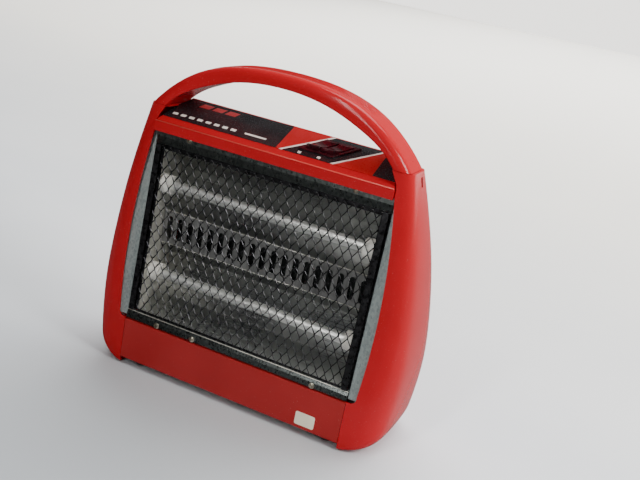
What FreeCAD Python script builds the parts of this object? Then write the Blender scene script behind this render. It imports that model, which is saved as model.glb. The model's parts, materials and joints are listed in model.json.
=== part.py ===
"""Free-standing radiant heater with two quartz tubes, built as a parametric FreeCAD document.

Every length comes from the "Sizes" sheet, in millimetres. Pieces are drawn in a drawing frame:
X to the right, Y back from the front plane, Z up from the floor. Each sub-part's Placement then
moves it back by half the depth, so that the origin is the middle of the footprint on the floor.
"""
import FreeCAD, Part
import math
import os

import Sketcher
from FreeCAD import Placement, Rotation, Vector

DIMENSIONS = {
    # whole heater
    "depth": 118, "base_height": 5, "seam_gap": 0.4, "sheet_metal": 1.2, "thin_sheet": 0.8,
    # side casings
    "casing_wall": 1.6, "casing_inner": 110, "casing_bottom": 2, "casing_top": 275,
    "lean_start": 60, "lean_ratio": 0.0442, "casing_roundness": 4.6,
    "foot_half_width": 139, "bottom_radius": 26, "belly_height": 100, "belly_half_width": 168.5,
    "hip_height": 157, "hip_half_width": 163, "hip_back": 97, "chest_height": 217,
    "chest_half_width": 153, "chest_back": 76.5, "belly_back": 110.5,
    "shoulder_half_width": 137.2, "shoulder_back": 54,
    "lip_corner": 134, "lip_belly": 137, "lip_belly_height": 128, "lip_top_height": 253,
    "lip_corner_height": 60, "lip_foot": 128.5, "neck_height": 265, "neck_half_width": 123.4,
    # carry handle
    "handle_front": 9.5, "handle_depth": 42, "handle_top": 331.5, "handle_band": 12.5,
    "handle_mid_x": 50, "handle_mid_height": 327.3, "handle_side_x": 88, "handle_side_height": 314.5,
    "handle_shoulder_x": 113, "handle_shoulder_height": 297.5, "handle_end_x": 134.3,
    "grip_mid_x": 44, "grip_mid_height": 314.3, "grip_side_x": 82, "grip_side_height": 301,
    "grip_shoulder_x": 105, "grip_shoulder_height": 288, "grip_end_x": 117.8,
    "handle_edge_radius": 8, "grip_edge_radius": 1.5, "handle_wall": 3.2, "grip_cover": 1.8,
    "latch_bottom": 261.5, "latch_height": 9, "latch_front": 33, "latch_width": 4,
    # control housing and its sloped label
    "housing_half_width": 124.6, "housing_bottom": 250, "lip_front": 6, "lip_height": 260.3,
    "label_front": 13.5, "label_front_height": 264, "label_back": 50, "label_back_height": 281,
    "housing_wall": 2.4, "label_sheet": 0.35, "label_margin": 0.6, "label_back_margin": 1.6,
    "label_back_half_width": 112,
    # twin rocker switch, in the plane of the label
    "switch_x": 48.3, "switch_up": 20, "switch_half_length": 17.6, "switch_half_width": 11.8,
    "switch_skew": 0.8, "switch_rim": 2.2, "rocker_divider": 1.6, "switch_rise": 2, "switch_body": 14,
    "rocker_width": 12.6, "rocker_length": 16, "rocker_gap": 0.5, "rocker_top": 4.2,
    "rocker_bottom": 5, "rocker_tilt": 7, "pivot_drop": 1.5, "pivot_radius": 1, "pivot_gap": 0.05,
    "finger_dish_radius": 14, "terminal_width": 4, "terminal_length": 8,
    # window in the leaning front: heights are along the lean
    "window_tilt": 3.4, "window_front": 0.5, "window_bottom": 52, "window_height": 199.5,
    "window_half_width": 125.2, "plate_overlap": 13, "plate_depth": 2.8, "plate_return": 16,
    "top_rail_height": 7, "top_band_height": 7.5, "rail_depth": 2.4, "rail_return": 4.6,
    "bottom_rail_height": 6, "bottom_band_height": 4,
    "screw_head_radius": 3, "screw_head_height": 1.4,
    "rail_screw_x": 88, "rail_extra_screw_x": 46,
    # wire guard
    "guard_half_width": 119.5, "guard_bottom": 10.8, "guard_top": 184.2, "guard_depth": 1.8,
    "guard_wire": 1.1, "guard_cell_width": 9.3, "guard_cell_height": 16.7,
    "channel_inner": 117.3, "channel_outer": 123.2,
    # lower front panel
    "panel_half_width": 124.8, "panel_front": 0.3, "panel_bottom": 8, "panel_top": 51,
    "panel_flange": 10, "badge_x": 88.7, "badge_bottom": 11.5, "badge_width": 20.5, "badge_height": 13.5,
    # heating chamber
    "chamber_half_width": 116.4, "chamber_foot_front": 8, "chamber_head_front": 18.5,
    "chamber_middle": 149, "trough_half": 87.5,
    "strip_half_height": 17.5, "strip_front": 33, "trough_back": 53, "trough_floor_half": 14,
    "tube_spacing": 47, "tube_depth": 24, "tube_radius": 5.5, "tube_wall": 1, "tube_half": 114,
    "coil_radius": 2.6, "coil_half": 105, "slot_pitch": 12, "slot_width": 6, "slot_height": 23,
    "cap_radius": 9.5, "cap_reach": 12, "cap_neck_radius": 6.8, "cap_neck": 6.5,
    "clip_sheet": 0.6, "clip_width": 22, "clip_front": 8, "clip_back": 15,
    # rear cover and base
    "rear_half_width": 117.4, "rear_inset": 1.5, "rear_top": 277, "rear_waist": 180,
    "rear_waist_back": 90, "rear_shelf": 42, "rear_shelf_back": 116, "rear_bottom": 9,
    "vent_width": 44, "vent_height": 4, "vent_pitch": 11, "vent_spacing": 62,
    "base_half_width": 122, "base_front": 8, "base_back": 114.5,
    "foot_x": 108, "foot_front": 17, "foot_back": 100, "foot_radius": 8, "foot_pad_radius": 6.5,
    # tip-over switch
    "tip_x": 0, "tip_y": 84, "tip_body_width": 20, "tip_body_height": 26, "tip_wall": 1.6,
    "plunger_radius": 4, "plunger_gap": 0.3, "plunger_flange": 6.5, "plunger_flange_height": 2,
    "tip_travel": 6, "spring_radius": 2.6,
    # electrical pieces behind the reflectors
    "cutout_radius": 8, "cutout_height": 7, "block_length": 34, "block_depth": 14,
    "block_height": 13, "wire_radius": 1.4, "bush_radius": 7, "bush_bore": 4, "bush_height": 30,
}


class Size:
    """A length that keeps both its value and the spreadsheet formula it comes from."""

    def __init__(self, value, formula):
        self.value = float(value)
        self.formula = formula

    def _with(self, other, sign, value):
        return Size(value, "(%s %s %s)" % (self.formula, sign, formula(other)))

    def __add__(self, other):
        return self._with(other, "+", self.value + number(other))

    def __radd__(self, other):
        return self + other

    def __rsub__(self, other):
        return -self + other

    def __rmul__(self, other):
        return self * other

    def __sub__(self, other):
        return self._with(other, "-", self.value - number(other))

    def __mul__(self, other):
        return self._with(other, "*", self.value * number(other))

    def __truediv__(self, other):
        return self._with(other, "/", self.value / number(other))

    def __neg__(self):
        return Size(-self.value, "(0 - %s)" % self.formula)


def number(size):
    """The plain value of a Size or a bare number."""
    return size.value if isinstance(size, Size) else float(size)


def formula(size):
    """The text that setExpression takes for a Size or a bare number."""
    return size.formula if isinstance(size, Size) else "%.6f" % size


class Sizes:
    """Reads each cell of the sheet by its alias, as a Size."""

    def __init__(self, sheet):
        self.sheet = sheet

    def __getattr__(self, alias):
        return Size(self.sheet.get(alias), "Sizes." + alias)


doc = FreeCAD.newDocument("heater")
sheet = doc.addObject("Spreadsheet::Sheet", "Sizes")
for row, (alias, value) in enumerate(DIMENSIONS.items(), start=1):
    sheet.set("A%d" % row, alias)
    sheet.set("B%d" % row, str(value))
    sheet.setAlias("B%d" % row, alias)
doc.recompute()
s = Sizes(sheet)
subparts = []


# ---------------------------------------------------------------- helpers

def stand(piece, label):
    """Registers a finished sub-part and moves it from the drawing frame to the model frame."""
    piece.Label = label
    piece.setExpression("Placement.Base.y", formula(-s.depth / 2))
    subparts.append(piece)
    return piece


def lean(piece, label):
    """Registers a sub-part drawn upright in the window's plane and leans it back with the window."""
    piece.Label = label
    piece.Placement = Placement(Vector(), Rotation(Vector(1, 0, 0), -number(s.window_tilt)))
    piece.setExpression("Placement.Base.y", formula(s.window_front - s.depth / 2))
    piece.setExpression("Placement.Base.z", formula(s.window_bottom))
    subparts.append(piece)
    return piece


def slope_angle():
    """Tilt of the label's plane above the horizontal, in degrees."""
    rise = number(s.label_back_height - s.label_front_height)
    return math.degrees(math.atan2(rise, number(s.label_back - s.label_front)))


def on_slope(piece, label, turn=0.0):
    """Registers a sub-part drawn flat about the switch's centre, and lays it on the label's plane.
    A turn rocks the piece about the switch's pivot, which lies along X."""
    angle = slope_angle()
    slope = Rotation(Vector(1, 0, 0), angle)
    up = number(s.switch_up)
    front = Vector(number(s.switch_x), number(s.label_front - s.depth / 2), number(s.label_front_height))
    centre = front + slope.multVec(Vector(0, up, 0))
    pivot = Vector(0, 0, -number(s.pivot_drop))
    rock = Placement(Vector(), Rotation(Vector(1, 0, 0), turn), pivot)
    piece.Label = label
    piece.Placement = Placement(centre, slope).multiply(rock)
    subparts.append(piece)
    return piece


def body(name):
    return doc.addObject("PartDesign::Body", name)


def sketch(owner, role, name, offset=0.0):
    """A sketch on one of the body's own origin planes, moved along that plane's normal."""
    drawing = owner.newObject("Sketcher::SketchObject", name)
    plane = next(item for item in owner.Origin.OriginFeatures if item.Role == role)
    drawing.AttachmentSupport = [(plane, "")]
    drawing.MapMode = "FlatFace"
    drawing.setExpression("AttachmentOffset.Base.z", formula(offset))
    return drawing


def pin(drawing, element, point, x, y):
    """Fixes a point of a sketch at two sizes from the sketch's origin."""
    for kind, size in (("DistanceX", x), ("DistanceY", y)):
        index = drawing.addConstraint(Sketcher.Constraint(kind, -1, 1, element, point, number(size)))
        drawing.setExpression("Constraints[%d]" % index, formula(size))


def polygon(drawing, corners):
    """A closed outline of straight lines with each corner bound to the sheet."""
    first = drawing.GeometryCount
    spots = [Vector(number(x), number(y), 0) for x, y in corners]
    for index, spot in enumerate(spots):
        drawing.addGeometry(Part.LineSegment(spot, spots[(index + 1) % len(spots)]), False)
    for index, (x, y) in enumerate(corners):
        after = first + (index + 1) % len(corners)
        drawing.addConstraint(Sketcher.Constraint("Coincident", first + index, 2, after, 1))
        pin(drawing, first + index, 1, x, y)


def rectangle(drawing, low, high):
    polygon(drawing, [(low[0], low[1]), (high[0], low[1]), (high[0], high[1]), (low[0], high[1])])


def circle(drawing, x, y, radius):
    centre = Vector(number(x), number(y), 0)
    element = drawing.addGeometry(Part.Circle(centre, Vector(0, 0, 1), number(radius)), False)
    pin(drawing, element, 3, x, y)
    index = drawing.addConstraint(Sketcher.Constraint("Radius", element, number(radius)))
    drawing.setExpression("Constraints[%d]" % index, formula(radius))


def pad(owner, drawing, length, reversed_side=False, both_sides=False):
    feature = owner.newObject("PartDesign::Pad", drawing.Name + "_pad")
    feature.Profile = drawing
    feature.setExpression("Length", formula(length))
    feature.Reversed = reversed_side
    feature.Midplane = both_sides
    return feature


def pocket(owner, drawing, length, reversed_side=False, both_sides=False):
    """Cuts the sketch's area out of the body, and says so if nothing was cut."""
    doc.recompute()
    before = owner.Shape.Volume
    feature = owner.newObject("PartDesign::Pocket", drawing.Name + "_pocket")
    feature.Profile = drawing
    feature.setExpression("Length", formula(length))
    feature.Reversed = reversed_side
    feature.Midplane = both_sides
    doc.recompute()
    if not owner.Shape.Volume < before - 0.01:
        raise ValueError("%s cuts nothing" % drawing.Name)
    return feature


def slab(name, low, high):
    """A body with the shape of a plain block between two corners."""
    owner = body(name)
    outline = sketch(owner, "XY_Plane", name + "_outline", low[2])
    rectangle(outline, low[:2], high[:2])
    pad(owner, outline, high[2] - low[2])
    return owner


def bent_sheet(name, corners, half_width):
    """A folded sheet: its section in the YZ plane, drawn as a closed outline, across the width."""
    owner = body(name)
    section = sketch(owner, "YZ_Plane", name + "_section")
    polygon(section, corners)
    pad(owner, section, half_width * 2, both_sides=True)
    return owner


def strip_outline(path, thickness):
    """Turns an open path of (y, z) points into a closed outline of constant thickness, on its left."""
    near = [Vector(number(y), number(z), 0) for y, z in path]
    normals = []
    for first, second in zip(near, near[1:]):
        along = (second - first).normalize()
        normals.append(Vector(-along.y, along.x, 0))
    far = []
    for index, (y, z) in enumerate(path):
        before = normals[max(index - 1, 0)]
        after = normals[min(index, len(normals) - 1)]
        mitre = (before + after) / (1 + before.dot(after))
        far.append((thickness * mitre.x + y, thickness * mitre.y + z))
    return list(path) + far[::-1]


def block(name, low, high):
    """A Part box between two corners."""
    piece = doc.addObject("Part::Box", name)
    for side, axis, start, end in zip(("Length", "Width", "Height"), "xyz", low, high):
        piece.setExpression(side, formula(end - start))
        piece.setExpression("Placement.Base." + axis, formula(start))
    return piece


def rod(name, start, radius, length, direction):
    """A Part cylinder from a start point along a direction."""
    piece = doc.addObject("Part::Cylinder", name)
    piece.Placement = Placement(Vector(), Rotation(Vector(0, 0, 1), direction))
    piece.setExpression("Radius", formula(radius))
    piece.setExpression("Height", formula(length))
    for axis, place in zip("xyz", start):
        piece.setExpression("Placement.Base." + axis, formula(place))
    return piece


def fuse(name, *pieces):
    joined = doc.addObject("Part::MultiFuse", name)
    joined.Shapes = list(pieces)
    return joined


def group(name, *pieces):
    """Separate solids kept in one sub-part."""
    gathered = doc.addObject("Part::Compound", name)
    gathered.Links = list(pieces)
    return gathered


def cut(name, base, *tools):
    remainder = doc.addObject("Part::Cut", name)
    remainder.Base = base
    remainder.Tool = tools[0] if len(tools) == 1 else fuse(name + "_tools", *tools)
    return remainder


def free_form(name, shape):
    """A Part::Feature for a shape that sketches and primitives don't reach."""
    piece = doc.addObject("Part::Feature", name)
    piece.Shape = shape
    return piece


def spline(points):
    curve = Part.BSplineCurve()
    curve.interpolate(points)
    return curve.toShape()


X_AXIS, Y_AXIS, Z_AXIS = Vector(1, 0, 0), Vector(0, 1, 0), Vector(0, 0, 1)
SIDES = (("left", -1), ("right", 1))
LEVELS = (("upper", 1), ("lower", -1))


# ---------------------------------------------------------------- side casings

def casing_stations():
    """(height, greatest half-width, back) of the casing, from the floor edge to the shoulder."""
    stations = []
    bottom = number(s.casing_bottom)
    radius = number(s.bottom_radius)
    foot = number(s.foot_half_width)
    for step in range(5):
        angle = math.radians(22.5 * step)
        stations.append((bottom + radius * (1 - math.cos(angle)), foot + radius * math.sin(angle), s.depth))
    between = (s.belly_half_width + foot + radius) / 2 + 1.5
    stations.append(((s.belly_height + bottom + radius) / 2, between, s.depth))
    stations.append((s.belly_height, s.belly_half_width, s.belly_back))
    stations.append((s.hip_height, s.hip_half_width, s.hip_back))
    stations.append((s.chest_height, s.chest_half_width, s.chest_back))
    stations.append((s.casing_top, s.shoulder_half_width, s.shoulder_back))
    return [tuple(number(size) for size in station) for station in stations]


def casing_section(height, half_width, back, inset):
    """Control points of half a superellipse in a level plane, from the front to the back."""
    front = max(0.0, height - number(s.lean_start)) * number(s.lean_ratio) + inset
    back -= inset
    inner = number(s.casing_inner) - inset
    reach = half_width - inset - inner
    middle = (front + back) / 2
    half = (back - front) / 2
    power = 2 / number(s.casing_roundness)
    points = []
    for step in range(13):
        angle = math.radians(-90 + 15 * step)
        across = math.cos(angle) ** power if 0 < step < 12 else 0.0
        along = math.copysign(abs(math.sin(angle)) ** power, angle) if step != 6 else 0.0
        points.append(Vector(inner + reach * across, middle + half * along, height))
    return points


def casing_solid(inset):
    """The casing's outside, or its inside when inset by the wall: a smooth surface over the
    stations, closed by flat faces at the bottom, the top and the open inner side."""
    stations = casing_stations()
    bottom, top = stations[0][0], stations[-1][0]
    rows = []
    for height, half_width, back in stations:
        share = (height - bottom) / (top - bottom)
        inside_height = bottom + inset + share * (top - bottom - 2 * inset)
        rows.append(casing_section(inside_height, half_width, back, inset))
    knots = []
    for count in (len(rows), len(rows[0])):
        knots.append(([4] + [1] * (count - 4) + [4], [float(knot) for knot in range(count - 2)]))
    surface = Part.BSplineSurface()
    surface.buildFromPolesMultsKnots(
        rows, knots[0][0], knots[1][0], knots[0][1], knots[1][1], False, False, 3, 3)
    skin = surface.toShape()
    level = [edge for edge in skin.Edges if edge.BoundBox.ZLength < 0.1]
    upright = [edge for edge in skin.Edges if edge.BoundBox.ZLength > 1]
    closing = [Part.makeLine(edge.Vertexes[0].Point, edge.Vertexes[-1].Point) for edge in level]
    faces = [skin]
    for edge, line in zip(level, closing):
        faces.append(Part.Face(Part.Wire([edge, line])))
    faces.append(Part.Face(Part.Wire(Part.__sortEdges__(closing + upright))))
    solid = Part.makeSolid(Part.makeShell(faces))
    if solid.Volume < 0:
        solid.reverse()
    return solid


def window_lip():
    """The area of the front view that the casing's front wall leaves open, right-hand half."""
    foot = number(s.panel_half_width + s.seam_gap)
    bottom = number(s.window_bottom)
    corner = Vector(number(s.lip_foot), 0, bottom)
    turn = Vector(number(s.lip_corner), 0, number(s.lip_corner_height))
    belly = Vector(number(s.lip_belly), 0, number(s.lip_belly_height))
    shoulder = Vector(foot, 0, number(s.lip_top_height))
    housing = Vector(number(s.housing_half_width + s.seam_gap), 0, number(s.lip_height))
    neck = Vector(number(s.neck_half_width), 0, number(s.neck_height))
    end = Vector(number(s.grip_end_x), 0, number(s.casing_top))
    above = end + Z_AXIS * 10
    bend = Vector(turn.x - 1.5, 0, corner.z + 2)
    edges = [
        Part.makeLine(Vector(0, 0, -10), Vector(foot, 0, -10)),
        Part.makeLine(Vector(foot, 0, -10), Vector(foot, 0, bottom)),
        Part.makeLine(Vector(foot, 0, bottom), corner),
        Part.Arc(corner, bend, turn).toShape(),
        Part.Arc(turn, belly, shoulder).toShape(),
        Part.makeLine(shoulder, housing),
        Part.makeLine(housing, neck),
        Part.makeLine(neck, end),
        Part.makeLine(end, above),
        Part.makeLine(above, Vector(0, 0, above.z)),
        Part.makeLine(Vector(0, 0, above.z), Vector(0, 0, -10)),
    ]
    return Part.Face(Part.Wire(edges))


def side_casings():
    wall = number(s.casing_wall)
    shell = casing_solid(0).cut(casing_solid(wall))
    front_cut = window_lip().extrude(Y_AXIS * 18)
    front_cut.translate(Y_AXIS * -1)
    shell = shell.cut(front_cut)
    rear_gap = number(s.rear_half_width + s.seam_gap)
    rear_cut = Part.makeBox(rear_gap, number(s.depth), number(s.handle_top), Vector(0, 16, -5))
    shell = shell.cut(rear_cut)
    screw_hole = Part.makeCylinder(2.2, 10, handle_screw_place() - Z_AXIS * 6)
    shell = shell.cut(screw_hole)
    outside = Vector(number(s.neck_half_width), number(s.latch_front), number(s.latch_bottom))
    latch = Part.makeBox(number(s.casing_inner), number(s.latch_width), number(s.latch_height), outside)
    shell = shell.cut(latch)
    for side, sign in SIDES:
        shape = shell if sign > 0 else shell.mirror(Vector(), X_AXIS)
        stand(free_form(side + "_side_casing", shape), side + "_side_casing")


# ---------------------------------------------------------------- carry handle

def handle_points(share):
    """Half the arch, from the top to the right-hand end: share 0 is the grip side, 1 the outside."""
    inside = [(0, s.handle_top - s.handle_band), (s.grip_mid_x, s.grip_mid_height),
              (s.grip_side_x, s.grip_side_height), (s.grip_shoulder_x, s.grip_shoulder_height),
              (s.grip_end_x, s.casing_top + s.seam_gap)]
    outside = [(0, s.handle_top), (s.handle_mid_x, s.handle_mid_height),
               (s.handle_side_x, s.handle_side_height), (s.handle_shoulder_x, s.handle_shoulder_height),
               (s.handle_end_x, s.casing_top + s.seam_gap)]
    points = []
    for (near_x, near_z), (far_x, far_z) in zip(inside, outside):
        x = number(near_x) + share * (number(far_x) - number(near_x))
        z = number(near_z) + share * (number(far_z) - number(near_z))
        points.append(Vector(x, 0, z))
    return points


def arch(near_share, far_share, front, back):
    """A slice of the handle's band between two shares of its thickness and two depths."""
    curves = []
    for share in (near_share, far_share):
        half = handle_points(share)
        mirrored = [Vector(-point.x, 0, point.z) for point in half[:0:-1]]
        curves.append(mirrored + half)
    near, far = curves
    edges = [spline(near), Part.makeLine(near[-1], far[-1]), spline(far), Part.makeLine(far[0], near[0])]
    face = Part.Face(Part.Wire(Part.__sortEdges__(edges)))
    face.translate(Y_AXIS * front)
    return face.extrude(Y_AXIS * (back - front))


def handle_screw_place():
    x = (number(s.grip_end_x) + number(s.handle_end_x)) / 2
    return Vector(x, number(s.handle_front + s.handle_depth / 2), number(s.casing_top))


def carry_handle():
    front = number(s.handle_front)
    back = number(s.handle_front + s.handle_depth)
    band = arch(0, 1, front, back)
    outer_edges = []
    inner_edges = []
    for edge in band.Edges:
        middle = edge.valueAt((edge.FirstParameter + edge.LastParameter) / 2)
        if abs(middle.x) < 1 and edge.BoundBox.XLength > 100:
            is_outside = middle.z > number(s.handle_top) - 1
            (outer_edges if is_outside else inner_edges).append(edge)
    band = band.makeFillet(number(s.handle_edge_radius), outer_edges)
    inner_edges = [edge for edge in band.Edges if edge.BoundBox.XLength > 100
                   and abs(edge.BoundBox.ZMax - number(s.handle_top - s.handle_band)) < 0.5]
    band = band.makeFillet(number(s.grip_edge_radius), inner_edges)
    wall = number(s.handle_wall)
    hollow_half = number(s.grip_shoulder_x) - 8
    limit_corner = Vector(-hollow_half, 0, number(s.grip_shoulder_height) - 5)
    limit = Part.makeBox(2 * hollow_half, 100, 100, limit_corner)
    hollow_share = 1 - wall / number(s.handle_band)
    hollow = arch(-0.2, hollow_share, front + wall, back - wall).common(limit)
    band = band.cut(hollow)
    for sign in (-1, 1):
        place = handle_screw_place()
        place.x *= sign
        band = band.cut(Part.makeCylinder(2.05, 8, place))
    stand(free_form("carry_handle", band), "carry_handle")

    gap = 0.2
    cover_half = hollow_half - gap
    limit_corner.x = -cover_half
    limit = Part.makeBox(2 * cover_half, 100, 100, limit_corner)
    cover_share = number(s.grip_cover) / number(s.handle_band)
    cover = arch(0, cover_share, front + wall + gap, back - wall - gap).common(limit)
    stand(free_form("handle_grip_cover", cover), "handle_grip_cover")

    screws = []
    for side, sign in SIDES:
        place = handle_screw_place()
        x = place.x * sign
        under = s.casing_top - s.casing_wall
        head = rod(side + "_handle_screw_head", (x, place.y, under - 2.4), 3.6, 2.4, Z_AXIS)
        shank = rod(side + "_handle_screw_shank", (x, place.y, under), 2, 9, Z_AXIS)
        screws.append(fuse(side + "_handle_screw", head, shank))
    stand(group("handle_screws", *screws), "handle_screws")


# ---------------------------------------------------------------- control housing and label

def housing_half_width(share):
    """Half-width of the label's plane at a share of its length, from the lip to the back."""
    front = s.housing_half_width - 1.6
    return front + (s.label_back_half_width - front) * share


def control_housing():
    lip_back = s.label_front
    wall = s.housing_wall
    owner = body("housing_body")
    section = sketch(owner, "YZ_Plane", "housing_section")
    polygon(section, [
        (s.lip_front, s.housing_bottom), (s.lip_front, s.lip_height),
        (lip_back, s.label_front_height), (s.label_back, s.label_back_height),
        (s.label_back + wall / 2, s.label_back_height - wall / 2),
        (s.label_back + wall / 2, s.housing_bottom + 8), (s.label_back - wall / 2, s.housing_bottom + 8),
        (s.label_back - wall / 2, s.label_back_height - wall * 1.6),
        (lip_back + wall / 2, s.label_front_height - wall), (s.lip_front + wall, s.lip_height - wall / 2),
        (s.lip_front + wall, s.housing_bottom),
    ])
    pad(owner, section, s.housing_half_width * 2, both_sides=True)
    for side, sign in SIDES:
        ends = sketch(owner, "XZ_Plane", side + "_housing_end", -s.label_back * 2)
        edge = s.housing_half_width + 4
        polygon(ends, [
            (edge * sign, s.lip_height - 2), (s.housing_half_width * sign, s.lip_height - 2),
            ((s.neck_half_width - 1.2) * sign, s.neck_height - 0.8),
            ((s.grip_end_x - 1.8) * sign, s.casing_top - 2),
            (s.label_back_half_width * sign, s.label_back_height + 0.5),
            (edge * sign, s.label_back_height + 0.5),
        ])
        pocket(owner, ends, s.label_back * 3, reversed_side=True)
    opening = sketch(owner, "XY_Plane", "switch_opening", s.label_back_height + 5)
    centre_y = s.label_front + s.switch_up * math.cos(math.radians(slope_angle()))
    hole_half_length = s.switch_half_length - 0.5
    hole_half_width = s.switch_half_width - 0.4
    polygon(opening, switch_outline(hole_half_length, hole_half_width, s.switch_x, centre_y))
    pocket(owner, opening, 25)
    stand(owner, "control_housing")


def switch_outline(half_length, half_width, x=0.0, y=0.0):
    """Skewed four-sided outline of the switch about a centre."""
    shift = s.switch_skew * half_width
    return [(x - half_length - shift, y - half_width), (x + half_length - shift, y - half_width),
            (x + half_length + shift, y + half_width), (x - half_length + shift, y + half_width)]


def control_label():
    """Printed sheet stuck on the slope, cut out around the switch."""
    owner = body("label_body")
    outline = sketch(owner, "XY_Plane", "label_outline")
    length = number(s.label_back - s.label_front) / math.cos(math.radians(slope_angle()))
    front = s.label_margin - s.switch_up
    back = length - s.label_back_margin - s.switch_up
    wide = housing_half_width(0.02) - 0.6
    waist = housing_half_width(0.5) - 0.4
    narrow = housing_half_width(1) - 1.5
    polygon(outline, [(-wide - s.switch_x, front), (wide - s.switch_x, front),
                      (waist - s.switch_x, front + length / 2), (narrow - s.switch_x, back),
                      (-narrow - s.switch_x, back), (-waist - s.switch_x, front + length / 2)])
    pad(owner, outline, s.label_sheet)
    opening = sketch(owner, "XY_Plane", "label_opening", 2)
    polygon(opening, switch_outline(s.switch_half_length - 0.6, s.switch_half_width - 0.6))
    pocket(owner, opening, 4)
    on_slope(owner, "control_label")


# ---------------------------------------------------------------- twin rocker switch

def rocker_centres():
    """The two rockers' places along the switch, low heat first."""
    pitch = (s.rocker_width + s.rocker_gap * 2 + s.rocker_divider) / 2
    return (("low_heat_rocker", -pitch), ("high_heat_rocker", pitch))


def rocker_switch():
    base = s.label_sheet
    frame = body("switch_frame_body")
    rim = sketch(frame, "XY_Plane", "switch_rim_outline", base)
    polygon(rim, switch_outline(s.switch_half_length, s.switch_half_width))
    pad(frame, rim, s.switch_rise - base)
    inner_length = s.switch_half_length - s.switch_rim
    inner_width = s.switch_half_width - s.switch_rim
    case = sketch(frame, "XY_Plane", "switch_case_outline", -s.switch_body)
    polygon(case, switch_outline(inner_length, inner_width))
    pad(frame, case, s.switch_body + s.switch_rise / 2)
    for name, place in rocker_centres():
        well = sketch(frame, "XY_Plane", name + "_well", s.switch_rise + 1)
        half_length = s.rocker_width / 2 + s.rocker_gap
        half_width = s.rocker_length / 2 + s.rocker_gap * 2
        polygon(well, switch_outline(half_length, half_width, place))
        pocket(frame, well, s.switch_rise + 1 + s.rocker_bottom + 4)
    shaft_start = (-s.switch_half_length - 2, 0.0, -s.pivot_drop)
    bore_radius = s.pivot_radius + s.pivot_gap
    bore = rod("switch_bore", shaft_start, bore_radius, s.switch_half_length * 2 + 4, X_AXIS)
    on_slope(cut("switch_frame", frame, bore), "switch_frame")

    span = s.switch_half_length - s.switch_rim - 0.4
    shaft = body("shaft_body")
    end = sketch(shaft, "YZ_Plane", "shaft_end", -span)
    circle(end, 0.0, -s.pivot_drop, s.pivot_radius)
    pad(shaft, end, span * 2)
    on_slope(shaft, "rocker_shaft")

    for name, place in rocker_centres():
        button = body(name + "_body")
        outline = sketch(button, "XY_Plane", name + "_outline", -s.rocker_bottom)
        polygon(outline, switch_outline(s.rocker_width / 2, s.rocker_length / 2, place))
        pad(button, outline, s.rocker_bottom + s.rocker_top)
        bore = rod(name + "_bore", (place - s.rocker_width, 0.0, -s.pivot_drop),
                   s.pivot_radius + s.pivot_gap, s.rocker_width * 2, X_AXIS)
        dish_height = s.rocker_top + s.finger_dish_radius - 1.5
        dish = rod(name + "_dish", (place - s.rocker_width * 1.5, 0.0, dish_height),
                   s.finger_dish_radius, s.rocker_width * 3, X_AXIS)
        on_slope(cut(name, button, bore, dish), name, -number(s.rocker_tilt))

    blades = []
    for index in range(4):
        across = s.switch_half_length * (index - 1.5) / 2.4
        low = (across - s.terminal_width / 2, -0.4, -s.switch_body - s.terminal_length)
        high = (across + s.terminal_width / 2, 0.4, -s.switch_body)
        blades.append(block("switch_blade_%d" % (index + 1), low, high))
    on_slope(group("switch_terminals", *blades), "switch_terminals")


# ---------------------------------------------------------------- window surround

def window_plates():
    """Galvanised strips between the window and the casings, each folded back along the window's edge."""
    sheet_thickness = s.thin_sheet
    for side, sign in SIDES:
        inner = s.window_half_width
        outer = inner + s.plate_overlap
        owner = body(side + "_plate_body")
        section = sketch(owner, "XY_Plane", side + "_plate_section", 3)
        corners = [(inner, 0.0), (outer, 0.0), (outer, sheet_thickness),
                   (inner + sheet_thickness, sheet_thickness),
                   (inner + sheet_thickness, s.plate_return), (inner, s.plate_return)]
        polygon(section, [(x * sign, y + s.plate_depth) for x, y in corners])
        pad(owner, section, s.window_height - 3)
        lean(owner, side + "_window_plate")


def rails():
    """Folded strips along the window's top and bottom edges, each with a band that leans inwards."""
    half = s.window_half_width - s.seam_gap
    top = s.window_height
    fold = top - s.top_rail_height
    path = [(s.rail_return, top - s.thin_sheet), (1.0, top - s.thin_sheet), (1.0, fold),
            (s.rail_depth + 1, fold - s.top_band_height), (s.rail_return, fold - s.top_band_height)]
    lean(bent_sheet("top_rail", strip_outline(path[::-1], -s.thin_sheet), half), "top_rail")
    step = s.bottom_rail_height
    path = [(s.rail_return, s.thin_sheet), (1.0, s.thin_sheet), (1.0, step),
            (s.rail_depth + 1, step + s.bottom_band_height), (s.rail_return, step + s.bottom_band_height)]
    lean(bent_sheet("bottom_rail", strip_outline(path, -s.thin_sheet), half), "bottom_rail")

    places = [(x * sign, top - s.top_rail_height / 2) for x in (s.rail_screw_x,) for sign in (-1, 1)]
    low_places = (-s.rail_screw_x, -s.rail_extra_screw_x, s.rail_screw_x)
    places += [(x, s.bottom_rail_height / 2) for x in low_places]
    screws = []
    for index, (x, z) in enumerate(places):
        head = rod("rail_screw_head_%d" % index, (x, 1 - s.screw_head_height, z), s.screw_head_radius,
                   s.screw_head_height, Y_AXIS)
        screws.append(head)
    lean(group("rail_screws", *screws), "rail_screws")


# ---------------------------------------------------------------- wire guard

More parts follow.
